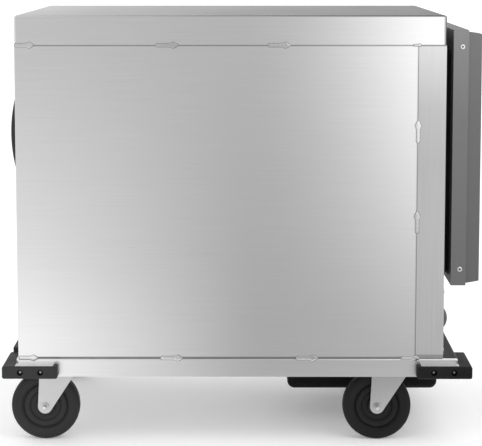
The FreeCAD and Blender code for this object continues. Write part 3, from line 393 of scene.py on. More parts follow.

# %% [markdown]
# The roof and the ledge in front of the posts are darker than the sides in the photograph, and the seams are
# dark lines. So each sheet has a painted shade, a formula of the place that is 1 where the steel keeps its
# colour: painted shadow in the seams, and painted shade and reflection on the roof, the posts and the ledge.
# The edges come from the frame, and each mask starts and ends a few millimetres from an edge.

# %% Painted shade by place
cap_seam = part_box("top_cap")[0][2]
cap_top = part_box("top_cap")[1][2]
cap_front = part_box("top_cap")[0][1]
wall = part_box("side_panel_left")[0][0]
base_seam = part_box("side_panel_left")[0][2]
post_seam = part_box("side_panel_left")[0][1]
rear_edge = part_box("side_panel_left")[1][1]


def past(coordinate, edge, start, end):
    """0 at the start and 1 at the end, both given in mm from an edge along the coordinate."""
    return contrast(coordinate, edge + start / 1000, edge + end / 1000)


# Painted shadow: darker in the last few mm along each seam of a side panel.
def painted_seam_shadow(place):
    """1 in the middle of a side panel, less in the last few mm along its lower, front and upper seams."""
    low = 1 - past(axis_of(place, 2), base_seam, 1.2, 3.2)
    front = past(axis_of(place, 1), post_seam, 2.85, 1.05)
    top = past(axis_of(place, 2), cap_seam, -2.8, -1.0)
    return (1 - 0.65 * low) * (1 - 0.45 * front) * (1 - 0.40 * top)


# Painted reflection of a dark shape half way up a post, and painted shadow in the seams at its foot and under
# the cap.
def painted_post_shade(place):
    """1 low on a post and 0.67 half way up; lower just above the rail and just under the cap."""
    height = axis_of(place, 2)
    middle = contrast(height, 0.18, 0.52) * (1 - 0.6 * contrast(height, 0.62, 0.75))
    low = 1 - past(height, base_seam, 5.5, 7.5)
    top = past(height, cap_seam, -2.8, -1.0)
    return (1 - 0.33 * middle) * (1 - 0.35 * low) * (1 - 0.50 * top)


# Painted shade: the roof is painted darker, most at the front, with dark lines on the front bends.
def painted_roof_shade(place):
    """1 on the side sheets, low on the front bends, and on the roof 0.8 at the rear and 0.15 at the front."""
    roof = past(axis_of(place, 2), cap_top, -3.0, -0.8)
    rear = contrast(axis_of(place, 1), -0.40, 0.42)
    corner = past(axis_of(place, 0), wall, 5.0, 4.0) + past(axis_of(place, 0), -wall, -5.0, -4.0)
    bend = 1 - 0.72 * (corner * past(axis_of(place, 1), cap_front, 6.15, 2.15))
    return (1 - roof * (0.86 - rear * (0.10 + 0.62 * rear))) * bend


# Painted reflection: the ledge in front of the posts is painted nearly black and dull, as the mirror image of
# the dark door and control panel above it.
def painted_ledge_reflection(place):
    """1 all over but for the ledge in front of the posts, where it is 0.03."""
    ahead = past(axis_of(place, 1), cap_front, -0.15, -0.75)
    on_top = past(axis_of(place, 2), base_seam, -2.5, -1.5)
    inside = past(axis_of(place, 0), wall, 1.5, 3.0)
    return 1 - 0.97 * (ahead * on_top * inside)


print("seams at", cap_seam, base_seam, post_seam)

# %% Steel on the sheets
ALONG_X, ALONG_Y, ALONG_Z = (0.014, 1.0, 1.0), (1.0, 0.014, 1.0), (1.0, 1.0, 0.014)
CASE_DARK, CASE_LIGHT, CASE_ROUGH = grey(0.735), grey(0.805), 0.22
for name, shade, sheets in (("sides", painted_seam_shadow, ("side_panel_left", "side_panel_right")),
                            ("cap", painted_roof_shade, ("top_cap",)),
                            ("base", painted_ledge_reflection, ("base_pan",))):
    paint(brushed_steel("satin_steel_" + name, ALONG_Y, CASE_DARK, CASE_LIGHT, CASE_ROUGH, shade), *sheets)
end_steel = brushed_steel("satin_steel_ends", ALONG_X, grey(0.68), grey(0.82), CASE_ROUGH)
liner_steel = brushed_steel("liner_steel", ALONG_Y, grey(0.58), grey(0.70), 0.30)
post_steel = brushed_steel("satin_steel_posts", ALONG_Z, grey(0.64), grey(0.78), 0.24, painted_post_shade)
paint(end_steel, "rear_panel", "control_panel")
paint(liner_steel, "liner", "module_box", "floor_grille", "water_pan", "pan_rack_left", "pan_rack_right",
      "drip_pan_runners")
paint(post_steel, "front_frame")
print("steel finishes ready")

# %% [markdown]
# The door is a darker grey than the case in the photograph. Its slab is a satin sheet with a soft sheen, and
# the full-height pull is the darkest. A plain paint with a little metal in it reads the same way. Both are
# painted paler towards the top, a painted highlight.

# %% Door finishes
PAINTED_SHEEN_FROM, PAINTED_SHEEN_TO = 0.60, 0.77


def satin_grey(name, dark, light, rough):
    """Fine noise in the colour and the roughness, paler near the top as a painted highlight, and a slow wave
    in the normal.
    """
    material, shader, place = new_finish(name, metallic=0.55)
    fine = grain(place, ALONG_X, 420.0)
    wave = grain(place, EVEN, 3.0, detail=1.0)
    # painted highlight: the colour is paler towards the top
    high = contrast(axis_of(place, 2), PAINTED_SHEEN_FROM, PAINTED_SHEEN_TO)
    feed(shader, base_color=blend(0.45 * fine + 0.55 * high, dark, light), roughness=rough + 0.10 * fine,
         normal=raised(0.02 * fine + wave, **SHEET_BUMP))
    return material


slab_grey = satin_grey("door_steel_slab", grey(0.13), grey(0.22), 0.34)
pull_grey = satin_grey("door_steel_pull", grey(0.12), grey(0.15), 0.36)
paint(slab_grey, "door_inner_pan", "door_skin")
paint(pull_grey, "door_pull")
print("door painted")

# %% [markdown]
# ## Rubber, plastic and the other finishes
# Bumpers, pan, handle and switch are black, but no two blacks are alike. Rubber is rough with a fine grain,
# moulded plastic is smoother with a slight orange peel, and the drip pan has a baked coat. Each takes the
# same three steps with its own numbers: a mottled colour, a mottled roughness and a fine bump. The rubber is
# painted paler towards the rear, a painted light, because the photograph shows it catching more light there.

# %% Mottled finishes
METAL_SPECULAR, RUBBER_SPECULAR = 0.5, 0.22
GRAIN_DEPTH, WEAR_SCALE, WEAR_ROUGHNESS = 0.0004, 0.02, 0.12


def grain_and_wear(place, size):
    """Two noises: a fine one for the grain and a slow one for wear and dust."""
    return grain(place, EVEN, size), contrast(grain(place, EVEN, size * WEAR_SCALE), 0.35, 0.75)


def mottled(name, dark, light, rough, size, bump, metallic=0.0, gloss=0.32):
    """Colour = wear + grain; roughness = rough + wear; normal = grain."""
    specular = METAL_SPECULAR if metallic else gloss
    material, shader, place = new_finish(name, metallic=metallic, specular_ior_level=specular)
    fine, wear = grain_and_wear(place, size)
    feed(shader, base_color=blend(0.6 * wear + 0.4 * fine, dark, light),
         roughness=rough + WEAR_ROUGHNESS * wear, normal=raised(fine, GRAIN_DEPTH, bump))
    return material


def black_with_dust_and_painted_light(name, dark, light, rough, size, bump):
    """As mottled, but mostly the place along the cabinet sets the colour: painted light, paler towards the
    rear.
    """
    material, shader, place = new_finish(name, specular_ior_level=RUBBER_SPECULAR)
    fine, wear = grain_and_wear(place, size)
    rear = contrast(axis_of(place, 1), -0.40, 0.40)
    feed(shader, base_color=blend(0.74 * rear + 0.16 * wear + 0.10 * fine, dark, light),
         roughness=rough + WEAR_ROUGHNESS * wear, normal=raised(fine, GRAIN_DEPTH, bump))
    return material


print("mottled finishes ready")

# %% Blacks, metals and marks
# the rubber's colour holds painted light: paler towards the rear, where more light falls
rubber = black_with_dust_and_painted_light("black_bumper", grey(0.002), grey(0.032), 0.50, 900, 0.20)
tread_grey = black_with_dust_and_painted_light("grey_tread", grey(0.001), grey(0.028), 0.46, 700, 0.15)
core_grey = black_with_dust_and_painted_light("grey_core", grey(0.001), grey(0.028), 0.40, 500, 0.10)
plastic = mottled("black_plastic", grey(0.012), grey(0.026), 0.34, 700, 0.10)
pan_black = mottled("drip_black", grey(0.002), grey(0.005), 0.40, 600, 0.10, gloss=0.12)
seal_black = mottled("black_seal", grey(0.008), grey(0.016), 0.55, 800, 0.15)
knob_grey = mottled("grey_plastic", grey(0.070), grey(0.100), 0.38, 700, 0.10)
wool = mottled("fibre_wool", (0.55, 0.45, 0.20, 1), (0.75, 0.66, 0.38, 1), 0.85, 260, 0.9)
motor_paint = mottled("motor_paint", grey(0.05), grey(0.09), 0.42, 500, 0.15)
mark_white = mottled("mark_white", grey(0.72), grey(0.80), 0.40, 500, 0.03)
# dark print for the ticks, needle and hub; on the rivet stubs it is painted shade in the holes
dark_marks_and_painted_shade = mottled("dark_marks_and_painted_shade", grey(0.015), grey(0.030), 0.40, 500, 0.03)
sheath = mottled("element_sheath", (0.10, 0.085, 0.07, 1), (0.22, 0.18, 0.14, 1), 0.38, 300, 0.15,
                 metallic=0.9)
blower_zinc = mottled("blower_zinc", grey(0.48), grey(0.66), 0.34, 120, 0.10, metallic=1.0)
fork_zinc = mottled("caster_zinc", grey(0.47), grey(0.60), 0.30, 150, 0.08, metallic=1.0)
bright_steel = mottled("bright_fastener", grey(0.62), grey(0.78), 0.22, 300, 0.06, metallic=1.0)
dull_steel = mottled("dull_fastener", grey(0.20), grey(0.30), 0.22, 300, 0.06, metallic=1.0)

CORNERS = (("front_left", -1, -1), ("front_right", 1, -1), ("rear_left", -1, 1), ("rear_right", 1, 1))
for corner, _, _ in CORNERS:
    paint(rubber, "bumper_" + corner)
    paint(fork_zinc, "caster_fork_" + corner)
paint(rubber, "front_strip", "rear_strip")
paint(fork_zinc, "caster_plates")
paint(plastic, "push_handle", "power_inlet", "thermostats", "switch_body", "power_rocker")
paint(pan_black, "drip_pan")
paint(wool, "insulation_batts", "door_insulation")
paint(sheath, "humidity_element", "air_heater")
paint(motor_paint, "blower_motor")
paint(blower_zinc, "blower_wheel")
paint(bright_steel, "caster_bolts", "hinge_frame_leaves", "hinge_door_leaves", "hinge_pins",
      "thermometer_case")
print("blacks, metals and marks ready")

# %% [markdown]
# The pilot lights have amber lenses that let some light through, and the thermometer has a clear glass with a
# hint of wear in its roughness.

# %% Lenses
lamp_amber, shader, place = new_finish("pilot_lens", roughness=0.12, transmission_weight=0.35)
feed(shader, base_color=blend(grain(place, EVEN, 300), (0.75, 0.20, 0.02, 1), (0.90, 0.36, 0.05, 1)))
paint(lamp_amber, "pilot_lights")
dial_glass, shader, place = new_finish("dial_glass", transmission_weight=1.0, ior=1.45, base_color=grey(0.98))
feed(shader, roughness=0.02 + 0.03 * grain(place, EVEN, 60))
paint(dial_glass, "thermometer_lens")
print("lenses ready")

# %% [markdown]
# ## Making surfaces
# Each new piece is a grid of points worked out with numpy, and neighbouring points are joined by quads. A
# grid may close on itself along either direction. Points that fall together, as at a pole, are merged, and
# then the faces are turned outwards. A piece may be made of several such grids.

# %% From grids to a piece
MERGE_DISTANCE = 1e-6


def quads(rows, columns, close_rows, close_columns):
    """The corner numbers of every quad of a grid, wrapped round where a direction is closed."""
    i = np.arange(rows if close_rows else rows - 1)[:, None]
    j = np.arange(columns if close_columns else columns - 1)[None, :]
    i_next, j_next = (i + 1) % rows, (j + 1) % columns
    corners = [i * columns + j, i * columns + j_next, i_next * columns + j_next, i_next * columns + j]
    return np.stack(np.broadcast_arrays(*corners), axis=-1).reshape(-1, 4)


def piece(name, body, material, grids, replaces=(), sharp=35):
    """One object from a list of (points, close_rows, close_columns), put on a body."""
    spots, faces, start = [], [], 0
    for points, close_rows, close_columns in grids:
        rows, columns = points.shape[:2]
        spots.append(points.reshape(-1, 3))
        faces.append(quads(rows, columns, close_rows, close_columns) + start)
        start += rows * columns
    mesh = bpy.data.meshes.new(name)
    mesh.from_pydata(np.concatenate(spots).tolist(), [], np.concatenate(faces).tolist())
    work = bmesh.new()
    work.from_mesh(mesh)
    bmesh.ops.remove_doubles(work, verts=work.verts, dist=MERGE_DISTANCE)
    bmesh.ops.recalc_face_normals(work, faces=work.faces)
    work.to_mesh(mesh)
    work.free()
    mesh.shade_smooth()
    mesh.set_sharp_from_angle(angle=math.radians(sharp))
    mesh.materials.append(material)
    made = bpy.data.objects.new(name, mesh)
    bpy.context.collection.objects.link(made)
    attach(made, body)
    if replaces:
        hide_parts(*replaces)
    print(name, "faces:", len(mesh.polygons))


print("piece helper ready")

# %% [markdown]
# Nearly every piece here is one of three kinds: a profile turned about an axis, a section carried along a
# path, or a short bar, which is a section carried from one point to another.

# %% Turned, carried and bar
def turned(profile, centre, axis, steps):
    """A profile of (radius, height) pairs, in mm, spun about an axis: each pair makes a ring."""
    radius, height = np.array(profile, float).T / 1000
    angle = np.linspace(0, 2 * math.pi, steps, endpoint=False)
    forward = np.array(axis, float)
    side = np.roll(np.abs(forward), 1)
    other = np.cross(forward, side)
    spin = np.cos(angle)[:, None] * side + np.sin(angle)[:, None] * other
    return np.array(centre) + radius[:, None, None] * spin + height[:, None, None] * forward


def carried(section, path, across, up, widths, heights):
    """A closed section of (a, b) pairs carried along a path: path + a * width * across + b * height * up."""
    a, b = np.array(section, float).T
    return (np.array(path)[:, None, :] + (a * np.array(widths)[:, None])[..., None] * np.array(across)
            + (b * np.array(heights)[:, None])[..., None] * np.array(up))


def bar(start, end, width, out, low, high):
    """A thin bar from start to end with a rectangular section between two heights, closed at its ends."""
    start, end, out = (np.array(v, float) for v in (start, end, out))
    along = (end - start) / np.linalg.norm(end - start)
    section = [(-1, low), (1, low), (1, high), (-1, high)]
    widths = [0, width / 2, width / 2, 0]
    points = carried(section, [start, start, end, end], np.cross(along, out), out, widths, [1, 1, 1, 1])
    return points, False, True


print("surface helpers ready")

# %% [markdown]
# ## Stitch welds
# The sheets meet in narrow seams, and every so often a short weld bridges the seam. In the photograph each
# weld is a pale bar with a dark edge and a knot near its front end, where the puddle was left to cool. A low
# arched profile carried along the seam gives that: its width swells at the knots, and small ripples run along
# the bead. The dark edge is the same bead again, wider, flatter and darker.

# %% Stitch welds
LONG, SHORT, TACK = 0.040, 0.034, 0.014
BEAD_HALF, KNOT_HALF, BEAD_HEIGHT = 0.0031, 0.0024, 0.0011
RIPPLE, RIPPLE_RATE = 0.00012, 18
FRONT_KNOT, REAR_KNOT, REAR_KNOT_SIZE = (0.55, 0.22), (-0.85, 0.14), 0.3
BEAD_POINTS, LAST_POINT, ARCH_POINTS, ARCH_BELOW = 41, 0.995, 20, 0.4
DARK_EDGE_WIDTH, DARK_EDGE_HEIGHT = 0.0008, 0.3


def bell(u, place, spread):
    """A smooth bump: 1 at the place, falling away over the spread."""
    return np.exp(-((u - place) / spread) ** 2)


def stitch(middle, along, across, out, length, size=1.0, wide=0.0, high=1.0):
    """A bead along a seam, with u from -1 to 1.

    Width = bar + two bell-shaped knots, closed at the ends by the root of (1 - u^8).
    """
    u = np.concatenate([[-1.0], np.linspace(-LAST_POINT, LAST_POINT, BEAD_POINTS), [1.0]])
    ends = np.clip(1 - u ** 8, 0, 1) ** 0.5
    path = np.array(middle) + (u * (length / 2 + wide))[:, None] * np.array(along)
    knot = bell(u, *FRONT_KNOT) + REAR_KNOT_SIZE * bell(u, *REAR_KNOT)
    widths = (size * (BEAD_HALF + KNOT_HALF * knot) + wide) * ends
    heights = high * (BEAD_HEIGHT + RIPPLE * np.cos(RIPPLE_RATE * u)) * ends
    turn = np.linspace(0, 2 * math.pi, ARCH_POINTS, endpoint=False)
    rise = np.where(np.sin(turn) > 0, np.sin(turn), ARCH_BELOW * np.sin(turn))
    arch = np.stack([np.cos(turn), rise], axis=1)
    return carried(arch, path, across, out, widths, heights), False, True


# place along the seam, length, relative width
cap_stitches = ((rear_edge - 0.018, SHORT, 1.0), (0.123, LONG, 1.0), (-0.078, LONG, 1.0),
                (post_seam + 0.003, TACK, 0.5))
base_stitches = ((rear_edge - 0.018, SHORT, 1.0), (0.117, LONG, 1.0), (-0.130, LONG, 1.0),
                 (post_seam + 0.010, SHORT, 0.8))
POST_STITCHES = (0.578, 0.413)
weld_edge_steel = brushed_steel("weld_dark_edge", ALONG_Y, grey(0.20), grey(0.32), 0.40)
run, rise = (0, -1, 0), (0, 0, 1)
for sign, side_name in ((-1, "left"), (1, "right")):
    face, out = -wall * sign, (sign, 0, 0)
    marks = [((face, y, z), run, rise, out, length, size)
             for z, stitches in ((cap_seam, cap_stitches), (base_seam, base_stitches))
             for y, length, size in stitches]
    marks += [((face, post_seam, z), rise, run, out, LONG, 1.0) for z in POST_STITCHES]
    welds = [stitch(*mark) for mark in marks]
    dark_edges = [stitch(*mark, wide=DARK_EDGE_WIDTH, high=DARK_EDGE_HEIGHT) for mark in marks]
    piece("stitch_welds_" + side_name, "cabinet", bright_steel, welds)
    piece("weld_dark_edges_" + side_name, "cabinet", weld_edge_steel, dark_edges)

# %% [markdown]
# ## Door seal
# The seal is a hollow rubber strip with a magnet in its bulb. It could be a bevelled curve, but its section
# is not round: a flat foot sits on the door, a folded waist lets it give, and a bulb meets the cabinet. That
# section is carried round a rectangle with rounded corners.

# %% Door seal
SEAL_HALF, SEAL_CORNER, CORNER_STEPS = 0.009, 0.014, 9
HALF_SECTION = [(-1.0, 0.00), (-0.98, 0.12), (-0.55, 0.20), (-0.42, 0.34), (-0.72, 0.46), (-0.95, 0.62),
                (-0.98, 0.84), (-0.80, 0.97), (-0.40, 1.0)]


def seal_loop(low, high, corner, steps):
    """The strip's middle line, as quarter turns about four corner points, and its outward direction."""
    angle = np.radians((np.arange(4)[:, None] * 90 + np.linspace(0, 90, steps)[None, :]).ravel())
    outward = np.stack([np.cos(angle), np.zeros_like(angle), np.sin(angle)], axis=1)
    middle = (low + high) / 2
    reach = (high - low) / 2 - corner
    x = middle[0] + np.repeat([1, -1, -1, 1], steps) * reach[0]
    z = middle[2] + np.repeat([1, 1, -1, -1], steps) * reach[2]
    centres = np.stack([x, np.full_like(x, low[1]), z], axis=1)
    return centres + corner * outward, outward


low, high = (np.array(corner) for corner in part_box("door_gasket"))
inset = np.array([SEAL_HALF, 0, SEAL_HALF])
line, outward = seal_loop(low + inset, high - inset, SEAL_CORNER, CORNER_STEPS)
section = HALF_SECTION + [(-a, b) for a, b in reversed(HALF_SECTION)]
strip = carried(section, line, outward[:, None, :], (0, 1, 0), np.full(len(line), SEAL_HALF),
                np.full(len(line), high[1] - low[1]))
piece("door_seal", "door", seal_black, [(strip, True, True)], ["door_gasket"], sharp=50)

# %% [markdown]
# ## Wheels
# Each caster wheel is a moulded rubber tyre on a hard core. A groove parts the two, and the core steps down
# in rings to a boss round the axle. All of it is turned, so two profiles spun about the axle make the wheel.

# %% Wheels
WHEEL_STEPS = 96
HALF_TYRE = [(42.0, 12.6), (43.2, 14.2), (45.5, 15.4), (48.0, 15.8), (54.5, 16.0), (58.6, 15.2),
             (61.4, 13.4), (62.9, 10.6), (63.4, 6.0), (63.5, 0.0)]
HALF_CORE = [(5.3, 16.9), (15.6, 16.9), (17.0, 16.2), (17.8, 14.6), (18.8, 11.6), (20.5, 10.8),
             (26.0, 10.8), (27.6, 11.4), (28.6, 13.2), (30.0, 13.9), (36.6, 13.9), (38.6, 13.4),
             (39.8, 12.0), (40.8, 11.2), (42.0, 11.2)]


def both_sides(half):
    """The half profile, then its mirror image in reverse."""
    return half + [(radius, -height) for radius, height in reversed(half) if height]


for corner, _, _ in CORNERS:
    low, high = (np.array(point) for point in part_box("caster_wheel_" + corner))
    middle = (low + high) / 2
    tyre = turned(both_sides(HALF_TYRE), middle, (1, 0, 0), WHEEL_STEPS)
    core = turned(both_sides(HALF_CORE), middle, (1, 0, 0), WHEEL_STEPS)
    body = "wheel_" + corner
    piece("tyre_" + corner, body, tread_grey, [(tyre, True, True)], ["caster_wheel_" + corner])
    piece("wheel_core_" + corner, body, core_grey, [(core, True, True)])

# %% [markdown]
# ## Axle ends and bumper bolts
# The axles end in a small bright boss, and the bumper bolts sit deep in their holes, where only their domes
# catch the light. Both are turned. The bolts stand 33 and 70 mm from each corner, on both faces of each
# bumper.

# %% Axle ends and bolts
BOSS = [(0.0, 0.0), (3.6, 0.0), (3.4, 0.8), (2.6, 1.4), (1.3, 1.75), (0.0, 1.8)]
BOLT = [(0.0, 0.0), (4.0, 0.0), (4.0, 2.4), (3.7, 3.3), (2.9, 4.0), (1.6, 4.4), (0.0, 4.5)]
HOLE_DEPTH, BOLT_PLACES = 0.009, (0.033, 0.070)
SMALL_STEPS = 24
bolts = []
for corner, out_x, out_y in CORNERS:
    fork = np.array(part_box("caster_fork_" + corner))
    wheel = np.array(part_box("caster_wheel_" + corner)).mean(axis=0)
    bosses = [(turned(BOSS, (x, wheel[1], wheel[2]), (sign, 0, 0), SMALL_STEPS), False, True)
              for x, sign in ((fork[0][0], -1), (fork[1][0], 1))]
    piece("axle_ends_" + corner, "swivel_" + corner, bright_steel, bosses)
    bumper = np.array(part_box("bumper_" + corner))
    side, end, z = bumper[(out_x + 1) // 2][0], bumper[(out_y + 1) // 2][1], bumper.mean(axis=0)[2]
    for step in BOLT_PLACES:
        seats = (((side - out_x * HOLE_DEPTH, end - out_y * step, z), (out_x, 0, 0)),
                 ((side - out_x * step, end - out_y * HOLE_DEPTH, z), (0, out_y, 0)))
        bolts += [(turned(BOLT, seat, axis, SMALL_STEPS), False, True) for seat, axis in seats]
piece("bumper_bolt_heads", "cabinet", dull_steel, bolts, ["bumper_bolts"])

# %% [markdown]
# ## Blind rivets
# Four blind rivets hold the door's slab to its skin, two on each side. A blind rivet is set from one side by
# a pin that snaps off, so its dome has a hole with the pin's stub in it. The stub is painted near black, a
# painted shade in the hole. Both are turned.

# %% Rivets
HEAD = [(0.0, 0.0), (5.0, 0.0), (4.95, 0.5), (4.3, 1.3), (3.2, 1.85), (2.4, 1.95), (1.9, 1.7), (1.75, 0.7),
        (0.0, 0.7)]
STUB = [(0.0, 0.65), (1.7, 0.65), (1.5, 1.0), (0.9, 1.15), (0.0, 1.2)]
RIVET_RADIUS, RIVET_PROUD, RIVET_STEPS = 0.005, 0.002, 32
low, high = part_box("door_rivets")
rivet_y = (low[1] + high[1]) / 2
heads, stubs = [], []
for sign in (-1, 1):
    face = sign * (high[0] - RIVET_PROUD)
    for z in (low[2] + RIVET_RADIUS, high[2] - RIVET_RADIUS):
        heads.append((turned(HEAD, (face, rivet_y, z), (sign, 0, 0), RIVET_STEPS), False, True))
        stubs.append((turned(STUB, (face, rivet_y, z), (sign, 0, 0), SMALL_STEPS), False, True))
piece("rivet_heads", "door", bright_steel, heads, ["door_rivets"])
# the pin stubs are painted near black: painted shade in the rivet holes
piece("rivet_stubs", "door", dark_marks_and_painted_shade, stubs)

# %% [markdown]
# ## Panel screws
# Six screws hold the control panel. Each head is a low dome with a cross cut into it. On a grid of radius and
# angle, the height is the dome's, less the cut wherever a point lies within one of the two bars of the cross.

# %% Screws
SCREW_RADIUS, SCREW_HEIGHT = 0.004, 0.002
DOME_DROP, CROSS_HALF, CROSS_REACH, CROSS_DEPTH = 0.55, 0.13, 0.6, 0.6
SCREW_ROWS, SCREW_STEPS = 26, 96


def cross_head(centre, radius, height):
    """Polar grid facing -Y: the height falls with (r / R)^2 and is cut down in the cross.

    The last two rows close it with a rim and a back.
    """
    r = np.concatenate([np.linspace(0, 1, SCREW_ROWS), [1.0, 0.0]])[:, None] * radius
    angle = np.linspace(0, 2 * math.pi, SCREW_STEPS, endpoint=False)[None, :]
    x, z = r * np.cos(angle), r * np.sin(angle)
    in_bar = (np.abs(x) < CROSS_HALF * radius) | (np.abs(z) < CROSS_HALF * radius)
    cut = in_bar & (r < CROSS_REACH * radius)
    out = height * (1 - DOME_DROP * (r / radius) ** 2) - CROSS_DEPTH * height * cut
    out[-2:] = 0.0
    return np.stack([centre[0] + x, centre[1] - out, centre[2] + z], axis=-1), False, True


low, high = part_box("panel_screws")
screws = [cross_head((x, high[1], z), SCREW_RADIUS, SCREW_HEIGHT)
          for x in (low[0] + SCREW_RADIUS, 0.0, high[0] - SCREW_RADIUS)
          for z in (low[2] + SCREW_RADIUS, high[2] - SCREW_RADIUS)]
piece("panel_screw_heads", "cabinet", bright_steel, screws, ["panel_screws"])

# %% [markdown]
# ## Knobs
# The two knobs set heat and humidity. They are moulded with a domed face, flutes for grip and a white line
# that points at the scale. A turned profile would be round, so here the radius also depends on the angle.

# %% Fluted knob
KNOB_DEPTH, FACE_SPHERE, FACE_RADIUS, FACE_ROWS = 0.0174, 0.029, 0.0184, 12
FLUTES, FLUTE_DEPTH, KNOB_STEPS = 16, 0.025, 128
# radius and height in mm, and how much of the flutes shows there
FOOT = [(0.0, 0.3, 0), (24.0, 0.3, 0), (24.0, 3.4, 0), (23.2, 4.2, 0), (20.0, 4.4, 0), (19.6, 5.2, 1),
        (19.4, 8.5, 1), (19.0, 9.7, 0.5)]


def dome(radius):
    """Height of the knob's domed face above the panel, on a sphere."""
    return KNOB_DEPTH - (FACE_SPHERE - np.sqrt(FACE_SPHERE ** 2 - radius ** 2))


def fluted(centre_x, centre_z, face_y):
    """Rows by angle: radius * (1 + depth * cos(flutes * angle)), fluted only on the grip, then the dome."""
    inward = np.linspace(FACE_RADIUS, 0.0, FACE_ROWS)
    face = np.stack([inward, dome(inward), np.zeros_like(inward)], axis=1)
    rows = np.concatenate([np.array(FOOT) / np.array([1000, 1000, 1]), face])
    angle = np.linspace(0, 2 * math.pi, KNOB_STEPS, endpoint=False)[None, :]
    radius = rows[:, :1] * (1 + FLUTE_DEPTH * rows[:, 2:] * np.cos(FLUTES * angle))
    depth = np.broadcast_to(rows[:, 1:2], radius.shape)
    points = [centre_x + radius * np.cos(angle), face_y - depth, centre_z + radius * np.sin(angle)]
    return np.stack(points, axis=-1), False, True


def ray_at(degrees):
    """A direction on the panel, at an angle from +X towards +Z."""
    angle = math.radians(degrees)
    return np.array([math.cos(angle), 0, math.sin(angle)])


print("knob face height:", dome(0.0))

# %% [markdown]
# The line is a thin band that follows the dome, and the scale is a ring of eleven ticks over 270 degrees.

# %% Knobs and their scales
FORWARD = (0, -1, 0)
LINE_FROM, LINE_TO, LINE_POINTS, LINE_HALF, LINE_PROUD = 0.004, 0.0175, 14, 0.0011, 0.00016
TICK_FROM, TICK_TO, TICK_WIDTH, TICK_LOW, TICK_HIGH = 0.0275, 0.0325, 0.0014, -0.0002, 0.00025
SCALE_FROM, SCALE_TO, SCALE_TICKS = 90, 360, 11
panel_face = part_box("control_panel")[0][1]
ticks = []
for name in ("heat_knob", "humidity_knob"):
    low, high = (np.array(point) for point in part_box(name))
    x, z = (low[0] + high[0]) / 2, (low[2] + high[2]) / 2
    piece(name + "_grip", name, knob_grey, [fluted(x, z, panel_face)], [name])
    reach = np.linspace(LINE_FROM, LINE_TO, LINE_POINTS)
    path = np.stack([np.full_like(reach, x), panel_face - dome(reach), z + reach], axis=1)
    widths = np.pad(np.full(LINE_POINTS - 2, LINE_HALF), 1)
    stripe = carried([(-1, -1), (1, -1), (1, 1), (-1, 1)], path, (1, 0, 0), FORWARD, widths,
                     np.full(LINE_POINTS, LINE_PROUD))
    piece(name + "_line", name, mark_white, [(stripe, False, True)])
    spot = np.array([x, panel_face, z])
    for ray in map(ray_at, np.linspace(SCALE_FROM, SCALE_TO, SCALE_TICKS)):
        start, end = spot + TICK_FROM * ray, spot + TICK_TO * ray
        ticks.append(bar(start, end, TICK_WIDTH, FORWARD, TICK_LOW, TICK_HIGH))
piece("scale_ticks", "cabinet", dark_marks_and_painted_shade, ticks)

# %% [markdown]
# ## Thermometer
# Under its glass the dial has a white card, a ring of ticks and a needle on a small boss. The card is a
# shallow turned disc, and the ticks and the needle are bars. The glass is the CAD model's own lens.

# %% Thermometer dial
CARD = [(0.0, 0.0), (26.6, 0.0), (26.6, 0.35), (0.0, 0.35)]
HUB = [(0.0, 0.3), (2.2, 0.3), (2.0, 1.4), (0.0, 1.6)]
CARD_BEHIND, CARD_STEPS = 0.002, 64
DIAL_FROM, DIAL_TO, DIAL_TICKS, LONG_EVERY = -50, 230, 29, 4
# where a mark starts and its width
LONG_MARK, SHORT_MARK = (0.0195, 0.0009), (0.0220, 0.0005)
MARK_END, MARK_LOW, MARK_HIGH = 0.0245, 0.0003, 0.00055
NEEDLE_ANGLE, NEEDLE_TAIL, NEEDLE_TIP = 215, 0.006, 0.021
NEEDLE_WIDTH, NEEDLE_LOW, NEEDLE_HIGH = 0.0012, 0.0008, 0.0012
low, high = (np.array(point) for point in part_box("thermometer_lens"))
centre = np.array([(low[0] + high[0]) / 2, high[1] + CARD_BEHIND, (low[2] + high[2]) / 2])
card = turned(CARD, centre, FORWARD, CARD_STEPS)
piece("dial_card", "cabinet", mark_white, [(card, False, True)])
dial_marks = []
for number, ray in enumerate(map(ray_at, np.linspace(DIAL_FROM, DIAL_TO, DIAL_TICKS))):
    inner, width = SHORT_MARK if number % LONG_EVERY else LONG_MARK
    dial_marks.append(bar(centre + inner * ray, centre + MARK_END * ray, width, FORWARD, MARK_LOW, MARK_HIGH))
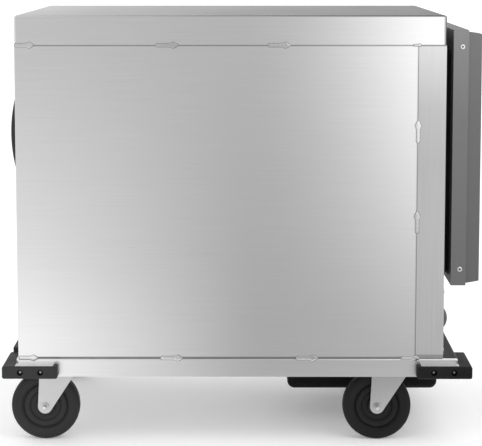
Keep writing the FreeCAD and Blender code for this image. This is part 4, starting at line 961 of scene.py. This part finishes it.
needle = ray_at(NEEDLE_ANGLE)
dial_marks.append(bar(centre - NEEDLE_TAIL * needle, centre + NEEDLE_TIP * needle, NEEDLE_WIDTH, FORWARD,
                      NEEDLE_LOW, NEEDLE_HIGH))
dial_marks.append((turned(HUB, centre, FORWARD, SMALL_STEPS), False, True))
piece("dial_marks", "cabinet", dark_marks_and_painted_shade, dial_marks)

# %% [markdown]
# ## Pilot lights
# Each pilot light sits in a bright threaded ring. A turned ring round the CAD lens is enough.

# %% Pilot rings
RING = [(6.05, 0.0), (8.6, 0.0), (8.6, 1.4), (8.0, 2.3), (6.8, 2.6), (6.05, 2.3)]
LENS_RADIUS, RING_STEPS = 0.008, 48
low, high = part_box("pilot_lights")
rings = [(turned(RING, (x, panel_face, (low[2] + high[2]) / 2), FORWARD, RING_STEPS), True, True)
         for x in (low[0] + LENS_RADIUS, high[0] - LENS_RADIUS)]
piece("pilot_rings", "cabinet", bright_steel, rings)

# %% [markdown]
# ## Bumper strips
# In the photograph the top of each bumper's side leg is a light band with rubber round its end. It is read as
# a steel strip that clamps the rubber to the rail, and the bright strip also stands for the sheen of the
# rubber's top there: a painted sheen. A flat bar on the bumper's top is enough.

# %% Bumper strips
SIDE_LEG, RUBBER_END, RUBBER_EDGE, STRIP_HEIGHT = 0.101, 0.008, 0.004, 0.0005
rail = abs(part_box("base_pan")[0][0])
sheen_strips = []
for corner, out_x, out_y in CORNERS:
    bumper = np.array(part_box("bumper_" + corner))
    end, top = bumper[(out_y + 1) // 2][1], bumper[1][2]
    proud = out_x * bumper[(out_x + 1) // 2][0] - rail
    x = out_x * (rail + (proud - RUBBER_EDGE) / 2)
    near, far = end - out_y * proud, end - out_y * (SIDE_LEG - RUBBER_END)
    sheen_strips.append(bar((x, near, top), (x, far, top), proud - RUBBER_EDGE, (0, 0, 1), 0.0, STRIP_HEIGHT))
# bright strips: a steel strip, and a painted sheen on the bumper's top
piece("bumper_sheen_strips", "cabinet", bright_steel, sheen_strips)
